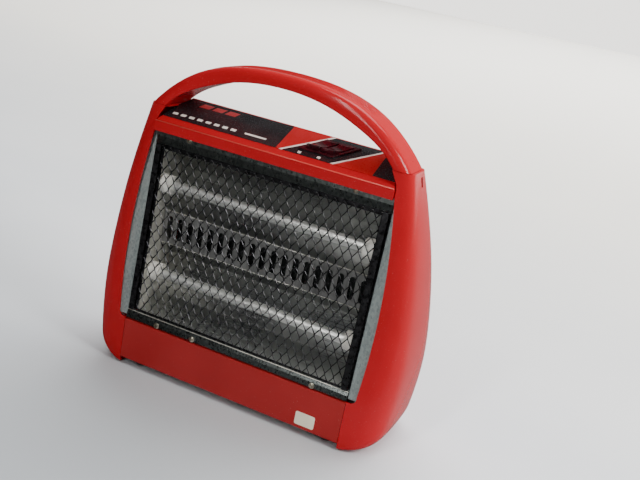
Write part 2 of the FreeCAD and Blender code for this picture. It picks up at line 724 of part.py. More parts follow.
def guard_strands():
    """Start and end of each straight strand of the diamond mesh, clipped to the guard's edges.
    Strands of one direction lie in front of the other's."""
    half = number(s.guard_half_width)
    low = number(s.guard_bottom)
    high = number(s.guard_top)
    pitch = number(s.guard_cell_width)
    slope = number(s.guard_cell_height) / pitch
    run = (high - low) / slope
    strands = []
    for direction, layer in ((1, 0), (-1, 1)):
        count = int((2 * half + run) / pitch)
        for index in range(1, count + 1):
            foot = -half - run + index * pitch
            start, end = foot, foot + run
            start_z, end_z = low, high
            if start < -half:
                start_z += (-half - start) * slope
                start = -half
            if end > half:
                end_z -= (end - half) * slope
                end = half
            if end - start > 2:
                near_end = Vector(start * direction, 0, start_z)
                far_end = Vector(end * direction, 0, end_z)
                strands.append((layer, near_end, far_end))
    return strands


def guard_mesh():
    wire = number(s.guard_wire)
    depth = number(s.guard_depth)
    wires = []
    for layer, start, end in guard_strands():
        offset = Y_AXIS * (depth + layer * (wire + 0.02))
        wires.append(Part.makeCylinder(wire / 2, (end - start).Length, start + offset, end - start))
    lean(free_form("guard_mesh", Part.makeCompound(wires)), "guard_mesh")


def guard_channels():
    """Black edge channels that grip the mesh's two sides."""
    for side, sign in SIDES:
        owner = body(side + "_channel_body")
        outline = sketch(owner, "XY_Plane", side + "_channel_section", s.guard_bottom)
        reach = s.guard_half_width + 0.6
        near = s.guard_depth - s.guard_wire
        far = s.guard_depth + s.guard_wire * 2
        corners = [(s.channel_inner, near - 1), (s.channel_outer, near - 1), (s.channel_outer, far + 1),
                   (s.channel_inner, far + 1), (s.channel_inner, far), (reach, far), (reach, near),
                   (s.channel_inner, near)]
        polygon(outline, [(x * sign, y) for x, y in corners])
        pad(owner, outline, s.guard_top - s.guard_bottom)
        lean(owner, side + "_guard_channel")


# ---------------------------------------------------------------- lower front panel

def front_lower_panel():
    sheet = s.sheet_metal
    front = s.panel_front
    path = [(front + s.panel_flange, s.panel_bottom), (front, s.panel_bottom),
            (front, s.panel_top), (front + s.panel_flange, s.panel_top)]
    panel = bent_sheet("front_lower_panel", strip_outline(path, -sheet), s.panel_half_width)
    stand(panel, "front_lower_panel")
    low = (s.badge_x - s.badge_width / 2, front - 0.3, s.badge_bottom)
    high = (s.badge_x + s.badge_width / 2, front, s.badge_bottom + s.badge_height)
    stand(slab("rating_label", low, high), "rating_label")


# ---------------------------------------------------------------- heating chamber

def trough_path(sign):
    """Section of one reflector, from the centre ridge round the back to the window's edge."""
    middle = s.chamber_middle
    ridge = middle + s.strip_half_height * sign
    tube = middle + s.tube_spacing * sign
    front = s.chamber_head_front if sign > 0 else s.chamber_foot_front
    return [
        (s.strip_front + s.thin_sheet + 0.1, ridge),
        (s.trough_back - 9, ridge + 5 * sign),
        (s.trough_back, tube - s.trough_floor_half * sign),
        (s.trough_back, tube + s.trough_floor_half * sign),
        (s.trough_back - 14, middle + (s.trough_half - 13) * sign),
        (front + 1, middle + s.trough_half * sign),
    ]


def reflectors():
    half = s.chamber_half_width - 0.5
    for level, sign in LEVELS:
        outline = strip_outline(trough_path(sign), s.thin_sheet * -sign)
        stand(bent_sheet(level + "_reflector", outline, half), level + "_reflector")

    strip = body("vent_strip_body")
    face = sketch(strip, "XZ_Plane", "vent_strip_outline", -s.strip_front)
    bottom = s.chamber_middle - s.strip_half_height
    top = s.chamber_middle + s.strip_half_height
    rectangle(face, (-half, bottom), (half, top))
    pad(strip, face, s.thin_sheet, reversed_side=True)
    slots = sketch(strip, "XZ_Plane", "vent_slots", -s.strip_front)
    count = int(2 * number(half) / number(s.slot_pitch))
    radius = s.slot_width / 2
    low = s.chamber_middle - s.slot_height / 2 + radius
    high = s.chamber_middle + s.slot_height / 2 - radius
    for index in range(count):
        centre = s.slot_pitch * (index - (count - 1) / 2)
        stadium(slots, centre, low, high, radius)
    pocket(strip, slots, s.thin_sheet * 4, both_sides=True)
    stand(strip, "centre_vent_strip")


def stadium(drawing, x, low, high, radius):
    """An upright slot with round ends."""
    left = Vector(number(x - radius), number(low), 0)
    right = Vector(number(x + radius), number(low), 0)
    rise = Vector(0, number(high - low), 0)
    up, down = Vector(0, number(radius), 0), Vector(0, -number(radius), 0)
    centre = Vector(number(x), number(low), 0)
    first = drawing.addGeometry(Part.LineSegment(right, right + rise), False)
    drawing.addGeometry(Part.Arc(right + rise, centre + rise + up, left + rise), False)
    drawing.addGeometry(Part.LineSegment(left + rise, left), False)
    drawing.addGeometry(Part.Arc(left, centre + down, right), False)


def chamber_walls():
    """Bright end plates of the chamber, each with two holes for the ceramic caps."""
    for side, sign in SIDES:
        inner = s.chamber_half_width * sign
        owner = body(side + "_wall_body")
        outline = sketch(owner, "YZ_Plane", side + "_wall_outline", inner)
        low, high = s.chamber_middle - s.trough_half - 3, s.chamber_middle + s.trough_half + 3
        polygon(outline, [(s.chamber_foot_front, low), (s.trough_back + 4, low + 14),
                          (s.trough_back + 4, high - 14), (s.chamber_head_front, high)])
        pad(owner, outline, s.thin_sheet, reversed_side=sign < 0)
        holes = sketch(owner, "YZ_Plane", side + "_wall_holes", inner)
        for level, lift in LEVELS:
            circle(holes, s.tube_depth, s.chamber_middle + s.tube_spacing * lift, s.cap_neck_radius + 0.3)
        pocket(owner, holes, s.thin_sheet * 6, both_sides=True)
        stand(owner, side + "_chamber_wall")


def heating_tubes():
    for level, lift in LEVELS:
        z = s.chamber_middle + s.tube_spacing * lift
        tube = body(level + "_tube_body")
        ring = sketch(tube, "YZ_Plane", level + "_tube_ring")
        circle(ring, s.tube_depth, z, s.tube_radius)
        circle(ring, s.tube_depth, z, s.tube_radius - s.tube_wall)
        pad(tube, ring, s.tube_half * 2, both_sides=True)
        stand(tube, level + "_quartz_tube")

        coil = body(level + "_coil_body")
        disc = sketch(coil, "YZ_Plane", level + "_coil_disc")
        circle(disc, s.tube_depth, z, s.coil_radius)
        pad(coil, disc, s.coil_half * 2, both_sides=True)
        stand(coil, level + "_heating_coil")


def ceramic_caps():
    """Stepped ceramic caps on the tubes' ends, each held to its wall by a spring clip."""
    for level, lift in LEVELS:
        z = s.chamber_middle + s.tube_spacing * lift
        for side, sign in SIDES:
            name = "ceramic_cap_%s_%s" % (level, side)
            wall_face = s.chamber_half_width
            owner = body(name + "_body")
            face = sketch(owner, "YZ_Plane", name + "_face", (wall_face - s.cap_reach) * sign)
            circle(face, s.tube_depth, z, s.cap_radius)
            pad(owner, face, s.cap_reach - 0.2, reversed_side=sign < 0)
            neck = sketch(owner, "YZ_Plane", name + "_neck", (wall_face - 0.3) * sign)
            circle(neck, s.tube_depth, z, s.cap_neck_radius)
            pad(owner, neck, s.cap_neck, reversed_side=sign < 0)
            bore = sketch(owner, "YZ_Plane", name + "_bore", (wall_face - s.cap_reach - 1) * sign)
            circle(bore, s.tube_depth, z, s.tube_radius + 0.15)
            pocket(owner, bore, s.cap_reach + s.cap_neck + 2, reversed_side=sign > 0)
            stand(owner, name)

            clip = body("cap_clip_%s_%s_body" % (level, side))
            plate = sketch(clip, "YZ_Plane", "clip_plate_%s_%s" % (level, side),
                           (wall_face + s.thin_sheet + 0.1) * sign)
            rectangle(plate, (s.tube_depth - s.clip_front, z - s.clip_width / 2),
                      (s.tube_depth + s.clip_back, z + s.clip_width / 2))
            circle(plate, s.tube_depth, z, s.cap_neck_radius + 0.2)
            pad(clip, plate, s.clip_sheet, reversed_side=sign < 0)
            stand(clip, "cap_clip_%s_%s" % (level, side))


# ---------------------------------------------------------------- rear cover and base

def rear_cover():
    half = s.rear_half_width
    path = [(s.shoulder_back - s.rear_inset, s.rear_top), (s.chest_back - s.rear_inset, s.chest_height),
            (s.rear_waist_back - s.rear_inset, s.rear_waist), (s.belly_back - s.rear_inset, s.belly_height),
            (s.rear_shelf_back, s.rear_shelf), (s.rear_shelf_back, s.rear_bottom)]
    outline = strip_outline(path, -s.sheet_metal)
    owner = body("rear_cover_body")
    section = sketch(owner, "YZ_Plane", "rear_cover_section")
    polygon(section, outline)
    pad(owner, section, half * 2, both_sides=True)
    for name, first, rows in (("lower", s.rear_shelf + 10, 4), ("upper", s.rear_waist + 8, 7)):
        slots = sketch(owner, "XZ_Plane", name + "_vents", -s.casing_inner / 4)
        for row in range(rows):
            z = first + s.vent_pitch * row
            for column in (-1, 0, 1):
                x = s.vent_spacing * column
                rectangle(slots, (x - s.vent_width / 2, z), (x + s.vent_width / 2, z + s.vent_height))
        pocket(owner, slots, s.depth)
    inlet = sketch(owner, "XZ_Plane", "cord_inlet", -s.trough_back - 20)
    circle(inlet, -s.vent_spacing, s.bush_height, s.bush_radius - 1.5)
    pocket(owner, inlet, s.depth)
    stand(owner, "rear_cover")

    heads = []
    for x in (-1, 1):
        for name, z in (("low", s.bush_height - 12), ("high", s.rear_shelf - 2)):
            place = ((half - 9) * x, s.rear_shelf_back, z)
            heads.append(rod("cover_screw_%s_%d" % (name, x + 2), place, s.screw_head_radius,
                             s.screw_head_height - 0.4, Y_AXIS))
    stand(group("rear_cover_screws", *heads), "rear_cover_screws")

    shield_path = [(s.trough_back + 6, s.chamber_middle + s.trough_half - 16),
                   (s.trough_back + 6, s.rear_shelf + 22)]
    shield = bent_sheet("heat_shield", strip_outline(shield_path, -s.thin_sheet), s.chamber_half_width - 4)
    stand(shield, "rear_heat_shield")

    bush = body("bush_body")
    flange = sketch(bush, "XZ_Plane", "bush_flange", -s.depth)
    circle(flange, -s.vent_spacing, s.bush_height, s.bush_radius)
    pad(bush, flange, s.depth - s.rear_shelf_back)
    sleeve = sketch(bush, "XZ_Plane", "bush_sleeve", -s.depth)
    circle(sleeve, -s.vent_spacing, s.bush_height, s.bush_radius - 1.7)
    pad(bush, sleeve, s.depth - s.rear_shelf_back + 8)
    hole = sketch(bush, "XZ_Plane", "bush_hole", -s.depth - 1)
    circle(hole, -s.vent_spacing, s.bush_height, s.bush_bore)
    pocket(bush, hole, 30, reversed_side=True)
    stand(bush, "cord_inlet_bush")


def base_plate():
    sheet = s.sheet_metal
    low = (-s.base_half_width, s.base_front, s.base_height)
    high = (s.base_half_width, s.base_back, s.base_height + sheet)
    owner = slab("base_plate_body", low, high)
    hole = sketch(owner, "XY_Plane", "tip_hole", s.base_height + sheet + 5)
    circle(hole, s.tip_x, s.tip_y, s.plunger_radius + s.plunger_gap)
    pocket(owner, hole, 20)
    stand(owner, "base_plate")

    screws = []
    for side, sign in SIDES:
        for end, y in (("front", s.foot_front), ("back", s.foot_back)):
            x = s.foot_x * sign
            foot = body("foot_%s_%s_body" % (end, side))
            pad_disc = sketch(foot, "XY_Plane", "foot_pad_%s_%s" % (end, side))
            circle(pad_disc, x, y, s.foot_pad_radius)
            pad(foot, pad_disc, 1.5)
            upper = sketch(foot, "XY_Plane", "foot_disc_%s_%s" % (end, side), 1.5)
            circle(upper, x, y, s.foot_radius)
            pad(foot, upper, s.base_height - 1.5)
            stand(foot, "foot_%s_%s" % (end, side))
            screws.append(rod("base_screw_%s_%s" % (end, side), (x, y, s.base_height + sheet),
                              s.screw_head_radius, s.screw_head_height, Z_AXIS))
    stand(group("base_screws", *screws), "base_screws")


# ---------------------------------------------------------------- tip-over switch

def tip_over_switch():
    """A sprung plunger that the floor holds up: it drops by its travel when the heater is lifted."""
    floor = s.base_height + s.sheet_metal
    half = s.tip_body_width / 2
    wall = s.tip_wall
    x, y = s.tip_x, s.tip_y
    top = floor + s.tip_body_height
    plunger_top = floor + wall + s.tip_travel + s.plunger_flange_height + s.plunger_gap
    case = body("tip_case_body")
    outline = sketch(case, "XY_Plane", "tip_case_outline", floor)
    rectangle(outline, (x - half, y - half), (x + half, y + half))
    pad(case, outline, s.tip_body_height)
    cavity = sketch(case, "XY_Plane", "tip_cavity", top - wall)
    rectangle(cavity, (x - half + wall, y - half + wall), (x + half - wall, y + half - wall))
    pocket(case, cavity, s.tip_body_height - wall * 2)
    hole = sketch(case, "XY_Plane", "tip_case_hole", floor + wall + 1)
    circle(hole, x, y, s.plunger_radius + s.plunger_gap)
    pocket(case, hole, wall + 2)
    stand(case, "tip_switch_case")

    plunger = body("plunger_body")
    stem = sketch(plunger, "XY_Plane", "plunger_stem")
    circle(stem, x, y, s.plunger_radius)
    pad(plunger, stem, plunger_top)
    flange = sketch(plunger, "XY_Plane", "plunger_flange_disc", plunger_top - s.plunger_flange_height)
    circle(flange, x, y, s.plunger_flange)
    pad(plunger, flange, s.plunger_flange_height)
    stand(plunger, "tip_switch_plunger")

    spring = body("tip_spring_body")
    ring = sketch(spring, "XY_Plane", "tip_spring_ring", plunger_top + 0.1)
    circle(ring, x, y, s.spring_radius)
    circle(ring, x, y, s.spring_radius - 0.8)
    pad(spring, ring, top - wall - plunger_top - 0.2)
    stand(spring, "tip_switch_spring")


# ---------------------------------------------------------------- electrical pieces

def electrical_pieces():
    behind = s.trough_back + 6.1 + s.thin_sheet
    thermal = body("thermal_cutout_body")
    disc = sketch(thermal, "XZ_Plane", "thermal_disc", -behind)
    circle(disc, 0.0, s.chamber_middle, s.cutout_radius)
    pad(thermal, disc, s.cutout_height, reversed_side=True)
    blades = sketch(thermal, "XZ_Plane", "thermal_blades", -(behind + s.cutout_height))
    for sign in (-1, 1):
        blade_x = sign * 4.0
        rectangle(blades, (blade_x - 1.5, s.chamber_middle - 0.4), (blade_x + 1.5, s.chamber_middle + 0.4))
    pad(thermal, blades, 6, reversed_side=True)
    stand(thermal, "thermal_cutout")

    floor = s.base_height + s.sheet_metal
    x = -s.vent_spacing
    low = (x - s.block_length / 2, s.trough_back + 14, floor)
    high = (x + s.block_length / 2, s.trough_back + 14 + s.block_depth, floor + s.block_height)
    terminal = slab("terminal_block_body", low, high)
    wells = sketch(terminal, "XY_Plane", "terminal_wells", floor + s.block_height + 1)
    for index in range(3):
        circle(wells, x + s.block_length * (index - 1) / 3, s.trough_back + 14 + s.block_depth / 2, 2.2)
    pocket(terminal, wells, 8)
    stand(terminal, "terminal_block")

    wires = []
    wire = s.wire_radius
    back = s.rear_shelf_back - 30
    wall_x = s.chamber_half_width - 12
    for index, lift in enumerate((1, -1)):
        z = s.chamber_middle + s.tube_spacing * lift
        for side, sign in SIDES:
            name = "wire_%d_%s" % (index, side)
            y = s.trough_back + 10 + 4.0 * index
            start = (wall_x * sign, y, s.rear_shelf)
            wires.append(rod(name, start, wire, z - s.rear_shelf, Z_AXIS))
    supply = (-s.vent_spacing, s.trough_back + 15 + s.block_depth, s.bush_height)
    wires.append(rod("wire_supply", supply, wire, back - s.trough_back + 5 - s.block_depth, Y_AXIS))
    stand(group("internal_wiring", *wires), "internal_wiring")


# ---------------------------------------------------------------- build, check and write

def check_document():
    doc.recompute()
    for item in doc.Objects:
        if "Invalid" in item.State or "Error" in item.State:
            raise ValueError("%s failed: %s" % (item.Label, item.State))
    for piece in subparts:
        if piece.Shape.isNull() or not piece.Shape.isValid() or not piece.Shape.Solids:
            raise ValueError("%s has no valid solid" % piece.Label)


def write_parts():
    os.makedirs("parts", exist_ok=True)
    for piece in subparts:
        piece.Shape.exportStep("parts/%s.step" % piece.Label)
        box = piece.Shape.BoundBox
        print("%-26s solids %2d  volume %9.1f  x %.1f %.1f  y %.1f %.1f  z %.1f %.1f" % (
            piece.Label, len(piece.Shape.Solids), piece.Shape.Volume,
            box.XMin, box.XMax, box.YMin, box.YMax, box.ZMin, box.ZMax))


side_casings()
carry_handle()
control_housing()
control_label()
rocker_switch()
window_plates()
rails()
guard_mesh()
guard_channels()
front_lower_panel()
reflectors()
chamber_walls()
heating_tubes()
ceramic_caps()
rear_cover()
base_plate()
tip_over_switch()
electrical_pieces()
check_document()
write_parts()
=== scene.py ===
"""Looks of the two-tube radiant heater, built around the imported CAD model. Lengths are in metres."""

import json
import math
import random

import bmesh
import bpy
from mathutils import Matrix, Vector
from mathutils.bvhtree import BVHTree


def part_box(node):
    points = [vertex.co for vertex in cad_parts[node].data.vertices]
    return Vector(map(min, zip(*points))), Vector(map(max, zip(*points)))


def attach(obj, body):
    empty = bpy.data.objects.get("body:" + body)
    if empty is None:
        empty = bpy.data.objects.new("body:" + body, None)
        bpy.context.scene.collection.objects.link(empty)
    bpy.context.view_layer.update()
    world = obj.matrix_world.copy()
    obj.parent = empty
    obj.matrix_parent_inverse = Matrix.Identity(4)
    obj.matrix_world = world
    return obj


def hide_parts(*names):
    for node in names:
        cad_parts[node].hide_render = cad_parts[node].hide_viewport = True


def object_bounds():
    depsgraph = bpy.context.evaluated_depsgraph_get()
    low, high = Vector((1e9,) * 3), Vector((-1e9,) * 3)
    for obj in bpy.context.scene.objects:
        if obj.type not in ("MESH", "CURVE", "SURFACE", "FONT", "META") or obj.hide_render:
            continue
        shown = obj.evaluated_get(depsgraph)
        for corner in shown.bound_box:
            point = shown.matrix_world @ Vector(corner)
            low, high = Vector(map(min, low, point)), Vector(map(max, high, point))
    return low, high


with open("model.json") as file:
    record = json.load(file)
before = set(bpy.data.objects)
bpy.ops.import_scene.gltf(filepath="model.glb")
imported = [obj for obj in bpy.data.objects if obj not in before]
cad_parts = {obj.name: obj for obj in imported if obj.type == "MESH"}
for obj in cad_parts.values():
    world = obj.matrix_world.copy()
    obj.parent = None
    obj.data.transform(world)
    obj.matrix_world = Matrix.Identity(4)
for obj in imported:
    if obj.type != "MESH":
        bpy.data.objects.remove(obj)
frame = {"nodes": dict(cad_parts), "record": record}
CAD_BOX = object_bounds()
NODES = frame["nodes"]
SLOTS = {part["node"]: part["material_slot"] for part in frame["record"]["subparts"]}
MM = 0.001
SIDES = (("left", -1), ("right", 1))

# ---------------------------------------------------------------- camera, floor and light

CAMERA_AIM = Vector((0.0458, 0.0, 0.1767))
CAMERA_DISTANCE = 0.88
CAMERA_AZIMUTH = math.radians(20.8)
CAMERA_ELEVATION = math.radians(17.8)
CAMERA_ROLL = math.radians(11.3)
CAMERA_LENS = 50.6
SENSOR_WIDTH = 36
LIGHT_AIM = (0.0, 0.0, 0.15)

FLOOR_REACH = 9.0
FLOOR_DROP = 0.0002
FLOOR_DIRECTION = (0.35, 0.94, 0.0)
# Painted shade: the darker paper towards the front and left of the heater.
FRONT_SHADE_PAPER = (0.31, 0.335, 0.36)
MIDDLE_PAPER = [(0.35, (0.64, 0.665, 0.70)), (0.65, (0.69, 0.71, 0.735))]
FAR_PAPER = (0.83, 0.815, 0.77)

BLACK = (0.0, 0.0, 0.0)
WHITE = (1.0, 1.0, 1.0)
WALLS_DIRECTION = (0.45, 0.85, 0.15)
WALL_SHADES = [(0.0, (0.015, 0.015, 0.016)), (0.40, (0.05, 0.05, 0.05)), (0.66, (0.15, 0.15, 0.145)),
               (0.84, (0.27, 0.265, 0.255))]
HORIZON_GLOW = (2.1, 2.05, 1.95)
HORIZON_HEIGHT = 0.03

CARD_LIFT = 0.001
CARD_INNER = 0.10
CARD_FRONT = -0.17


def make_camera():
    data = bpy.data.cameras.new("camera")
    data.lens = CAMERA_LENS
    data.sensor_width = SENSOR_WIDTH
    camera = bpy.data.objects.new("camera", data)
    bpy.context.scene.collection.objects.link(camera)
    swing = Matrix.Rotation(CAMERA_AZIMUTH, 4, "Z")
    nod = Matrix.Rotation(math.pi / 2 - CAMERA_ELEVATION, 4, "X")
    roll = Matrix.Rotation(CAMERA_ROLL, 4, "Z")
    back = Matrix.Translation((0, 0, CAMERA_DISTANCE))
    camera.matrix_world = Matrix.Translation(CAMERA_AIM) @ swing @ nod @ roll @ back
    bpy.context.scene.camera = camera


def area_light(name, place, aim, size, power, colour, mirrored=True):
    """Soft rectangle of light; one that isn't mirrored lights the scene but shows in no reflection."""
    data = bpy.data.lights.new(name, "AREA")
    data.shape = "RECTANGLE"
    data.size, data.size_y = size
    data.energy = power
    data.color = colour
    lamp = bpy.data.objects.new(name, data)
    bpy.context.scene.collection.objects.link(lamp)
    lamp.location = place
    lamp.rotation_mode = "QUATERNION"
    lamp.rotation_quaternion = (Vector(aim) - Vector(place)).to_track_quat("-Z", "Y")
    lamp.visible_glossy = mirrored


def make_lights():
    area_light("right_softbox", (1.25, -0.35, 1.15), LIGHT_AIM, (0.45, 0.6), 20, (1.0, 0.985, 0.96))
    area_light("front_strip", (-0.10, -1.1, 0.9), LIGHT_AIM, (0.08, 1.4), 10, (1.0, 0.99, 0.97))
    area_light("top_softbox", (0.3, 0.45, 1.9), LIGHT_AIM, (1.2, 0.8), 18, (0.98, 0.99, 1.0))
    area_light("far_softbox", (2.5, 6.0, 3.0), (2.5, 6.0, 0.0), (12.0, 9.0), 2000, (1.0, 0.99, 0.97),
               mirrored=False)


def dot_product(tree, vector, direction):
    node = tree.nodes.new("ShaderNodeVectorMath")
    node.operation = "DOT_PRODUCT"
    node.inputs[1].default_value = direction
    tree.links.new(vector, node.inputs[0])
    return node.outputs["Value"]


def vector_math(tree, operation, first, second):
    node = tree.nodes.new("ShaderNodeVectorMath")
    node.operation = operation
    tree.links.new(first, node.inputs[0])
    tree.links.new(second, node.inputs[1])
    return node.outputs["Vector"]


def map_range(tree, value, near, far, low=0.0, high=1.0):
    """The value's way from near to far, turned into a way from low to high."""
    node = tree.nodes.new("ShaderNodeMapRange")
    node.inputs["From Min"].default_value = near
    node.inputs["From Max"].default_value = far
    node.inputs["To Min"].default_value = low
    node.inputs["To Max"].default_value = high
    tree.links.new(value, node.inputs["Value"])
    return node.outputs["Result"]


def colour_ramp(tree, fac, stops):
    """A ramp with a colour at each stop, given as (position, colour)."""
    node = tree.nodes.new("ShaderNodeValToRGB")
    elements = node.color_ramp.elements
    while len(elements) < len(stops):
        elements.new(0.5)
    for element, (position, colour) in zip(elements, stops):
        element.position = position
        element.color = (*colour, 1.0)
    tree.links.new(fac, node.inputs["Fac"])
    return node.outputs["Color"]


def make_world():
    """Pale surroundings behind the heater and to its right, dim ones in front and to the left, and
    a bright line along the horizon behind it."""
    world = bpy.data.worlds.new("room")
    world.use_nodes = True
    tree = world.node_tree
    direction = tree.nodes.new("ShaderNodeTexCoord").outputs["Generated"]

    def shade_along(axis, near, far, stops):
        return colour_ramp(tree, map_range(tree, dot_product(tree, direction, axis), near, far), stops)

    walls = shade_along(WALLS_DIRECTION, -1.0, 1.0, WALL_SHADES)
    horizon = shade_along((0.0, 0.0, 1.0), 0.0, HORIZON_HEIGHT, [(0.4, HORIZON_GLOW), (1.0, BLACK)])
    behind = shade_along((0.0, 1.0, 0.0), 0.0, 1.0, [(0.3, BLACK), (0.7, WHITE)])
    glow = vector_math(tree, "MULTIPLY", horizon, behind)
    background = tree.nodes["Background"]
    tree.links.new(vector_math(tree, "ADD", walls, glow), background.inputs["Color"])
    background.inputs["Strength"].default_value = 1.0
    bpy.context.scene.world = world


def level_sheet(name, low, high, level):
    """Flat rectangle between two corners, at one height."""
    mesh = bpy.data.meshes.new(name)
    mesh.from_pydata([(low[0], low[1], level), (high[0], low[1], level),
                      (high[0], high[1], level), (low[0], high[1], level)], [], [(0, 1, 2, 3)])
    sheet = bpy.data.objects.new(name, mesh)
    bpy.context.scene.collection.objects.link(sheet)
    return sheet


def reflection_card(name, low, high, shade):
    """Card on the floor that only reflections see, so that they show darker surroundings."""
    card = level_sheet(name, low, high, CAD_BOX[0].z + CARD_LIFT)
    card.data.materials.append(Paint(name + "_felt", (shade, shade, shade), 0.9).material)
    card.visible_camera = False
    card.visible_diffuse = False
    card.visible_shadow = False
    card.visible_transmission = False


def make_cards():
    reflection_card("front_card", (-3.0, -3.0), (3.0, CARD_FRONT), 0.012)
    reflection_card("right_card", (CARD_INNER, CARD_FRONT), (4.0, 5.0), 0.16)
    reflection_card("left_card", (-4.0, CARD_FRONT), (-CARD_INNER, 5.0), 0.06)


def make_floor():
    """Pale paper, darkened towards the front and left by painted shade, and warmer far behind."""
    floor = level_sheet("floor", (-FLOOR_REACH, -FLOOR_REACH), (FLOOR_REACH, FLOOR_REACH),
                        CAD_BOX[0].z - FLOOR_DROP)
    paint = Paint("floor_paper", WHITE, 0.6)
    mottle = paint.noise(3.0, 3, 0.5)
    way_back = paint.along(FLOOR_DIRECTION)
    # Painted shade: the paper darkens towards the front and left, standing in for the heater's shadow and the
    # dimmer light there.
    front_shade = paint.spread(way_back, 1.0, 0.0, -0.42, 0.10)
    far_behind = paint.spread(way_back, 0.0, 1.0, 0.15, 1.2)
    paper = paint.blend(far_behind, paint.ramp(mottle, MIDDLE_PAPER), FAR_PAPER)
    paint.color_from(paint.blend(front_shade, paper, FRONT_SHADE_PAPER))
    floor.data.materials.append(paint.material)


# ---------------------------------------------------------------- materials

class Paint:
    """A Principled material and the nodes that give it detail, all in object coordinates."""

    def __init__(self, name, colour, roughness, metallic=0.0, **sockets):
        self.material = bpy.data.materials.new(name)
        self.material.use_nodes = True
        self.tree = self.material.node_tree
        self.surface = self.tree.nodes["Principled BSDF"]
        self.set("Base Color", (*colour, 1.0))
        self.set("Roughness", roughness)
        self.set("Metallic", metallic)
        for socket, value in sockets.items():
            self.set(socket.replace("_", " ").title().replace("Ior", "IOR"), value)
        self.place = self.tree.nodes.new("ShaderNodeTexCoord").outputs["Object"]

    def set(self, socket, value):
        self.surface.inputs[socket].default_value = value

    def feed(self, socket, output):
        self.tree.links.new(output, self.surface.inputs[socket])

    def color_from(self, output):
        self.feed("Base Color", output)

    def stretched(self, scale, turn=(0, 0, 0)):
        mapping = self.tree.nodes.new("ShaderNodeMapping")
        mapping.inputs["Scale"].default_value = scale
        mapping.inputs["Rotation"].default_value = turn
        self.tree.links.new(self.place, mapping.inputs["Vector"])
        return mapping.outputs["Vector"]

    def along(self, direction):
        """Distance along a direction, in object coordinates."""
        return dot_product(self.tree, self.place, direction)

    def noise(self, scale, detail=2, roughness=0.5, place=None):
        node = self.tree.nodes.new("ShaderNodeTexNoise")
        node.inputs["Scale"].default_value = scale
        node.inputs["Detail"].default_value = detail
        node.inputs["Roughness"].default_value = roughness
        self.tree.links.new(place or self.place, node.inputs["Vector"])
        return node.outputs["Fac"]

    def cells(self, scale, output, place=None):
        node = self.tree.nodes.new("ShaderNodeTexVoronoi")
        node.inputs["Scale"].default_value = scale
        self.tree.links.new(place or self.place, node.inputs["Vector"])
        return node.outputs[output]

    def ramp(self, fac, stops):
        return colour_ramp(self.tree, fac, stops)

    def spread(self, fac, low, high, near=0.0, far=1.0):
        return map_range(self.tree, fac, near, far, low, high)

    def combine(self, operation, first, second):
        node = self.tree.nodes.new("ShaderNodeMath")
        node.operation = operation
        for socket, value in zip(node.inputs, (first, second)):
            if isinstance(value, (int, float)):
                socket.default_value = value
            else:
                self.tree.links.new(value, socket)
        return node.outputs["Value"]

    def mixed(self, first, second, share):
        """Two patterns added in the ratio of share to the rest."""
        return self.combine("ADD", self.combine("MULTIPLY", first, share),
                            self.combine("MULTIPLY", second, 1 - share))

    def blend(self, fac, first, second):
        node = self.tree.nodes.new("ShaderNodeMix")
        node.data_type = "RGBA"
        sockets = [socket for socket in node.inputs if socket.type == "RGBA"]
        for socket, value in zip(sockets, (first, second)):
            if isinstance(value, tuple):
                socket.default_value = (*value, 1.0)
            else:
                self.tree.links.new(value, socket)
        self.tree.links.new(fac, node.inputs[0])
        return [socket for socket in node.outputs if socket.type == "RGBA"][0]

    def bump(self, height, distance, strength=1.0):
        node = self.tree.nodes.new("ShaderNodeBump")
        node.inputs["Strength"].default_value = strength
        node.inputs["Distance"].default_value = distance
        self.tree.links.new(height, node.inputs["Height"])
        self.tree.links.new(node.outputs["Normal"], self.surface.inputs["Normal"])


def moulded_plastic(name, colour, shade, roughness, dust):
    """Glossy injection-moulded plastic: faint flow shading, orange peel, hairline scuffs and dust."""
    paint = Paint(name, colour, roughness, ior=1.33)
    flow = paint.ramp(paint.noise(9.0, 3), [(0.3, shade), (0.7, colour)])
    specks = paint.spread(paint.noise(900.0, 3, 0.7), 0.0, dust, 0.66, 0.74)
    paint.color_from(paint.blend(specks, flow, (0.75, 0.55, 0.50)))
    scuffs = paint.noise(1.0, 4, 0.6, paint.stretched((30, 90, 700), (0.2, 0.5, 0.1)))
    paint.feed("Roughness", paint.spread(scuffs, roughness - 0.03, roughness + 0.06, 0.35, 0.75))
    paint.bump(paint.noise(170.0, 2, 0.4), 0.00006, 0.35)
    return paint.material


def sprayed_enamel(name, colour, shade):
    """Semi-gloss paint on sheet steel, with a fine pebbled skin and rubbed patches."""
    paint = Paint(name, colour, 0.36, ior=1.30)
    patches = paint.noise(14.0, 4, 0.6)
    specks = paint.spread(paint.noise(700.0, 2, 0.6), 0.0, 0.35, 0.70, 0.76)
    mottled = paint.ramp(patches, [(0.3, shade), (0.7, colour)])
    paint.color_from(paint.blend(specks, mottled, (0.78, 0.60, 0.55)))
    paint.feed("Roughness", paint.spread(patches, 0.30, 0.46, 0.3, 0.7))
    paint.bump(paint.noise(1100.0, 2, 0.5), 0.00003, 0.4)
    return paint.material


def zinc_sheet(name, shade, colour, metallic, roughness):
    """Hot-dip zinc: grey crystals of a millimetre or two, each with its own shade and gloss."""
    paint = Paint(name, colour, roughness, metallic, ior=1.35)
    crystals = paint.cells(620.0, "Color", paint.stretched((1, 1, 0.6)))
    grains = paint.noise(1300.0, 3, 0.6)
    mixed = paint.mixed(crystals, grains, 0.55)
    paint.color_from(paint.ramp(mixed, [(0.2, shade), (0.8, colour)]))
    paint.feed("Roughness", paint.spread(mixed, roughness - 0.08, roughness + 0.10, 0.2, 0.8))
    paint.bump(grains, 0.00004, 0.5)
    return paint.material


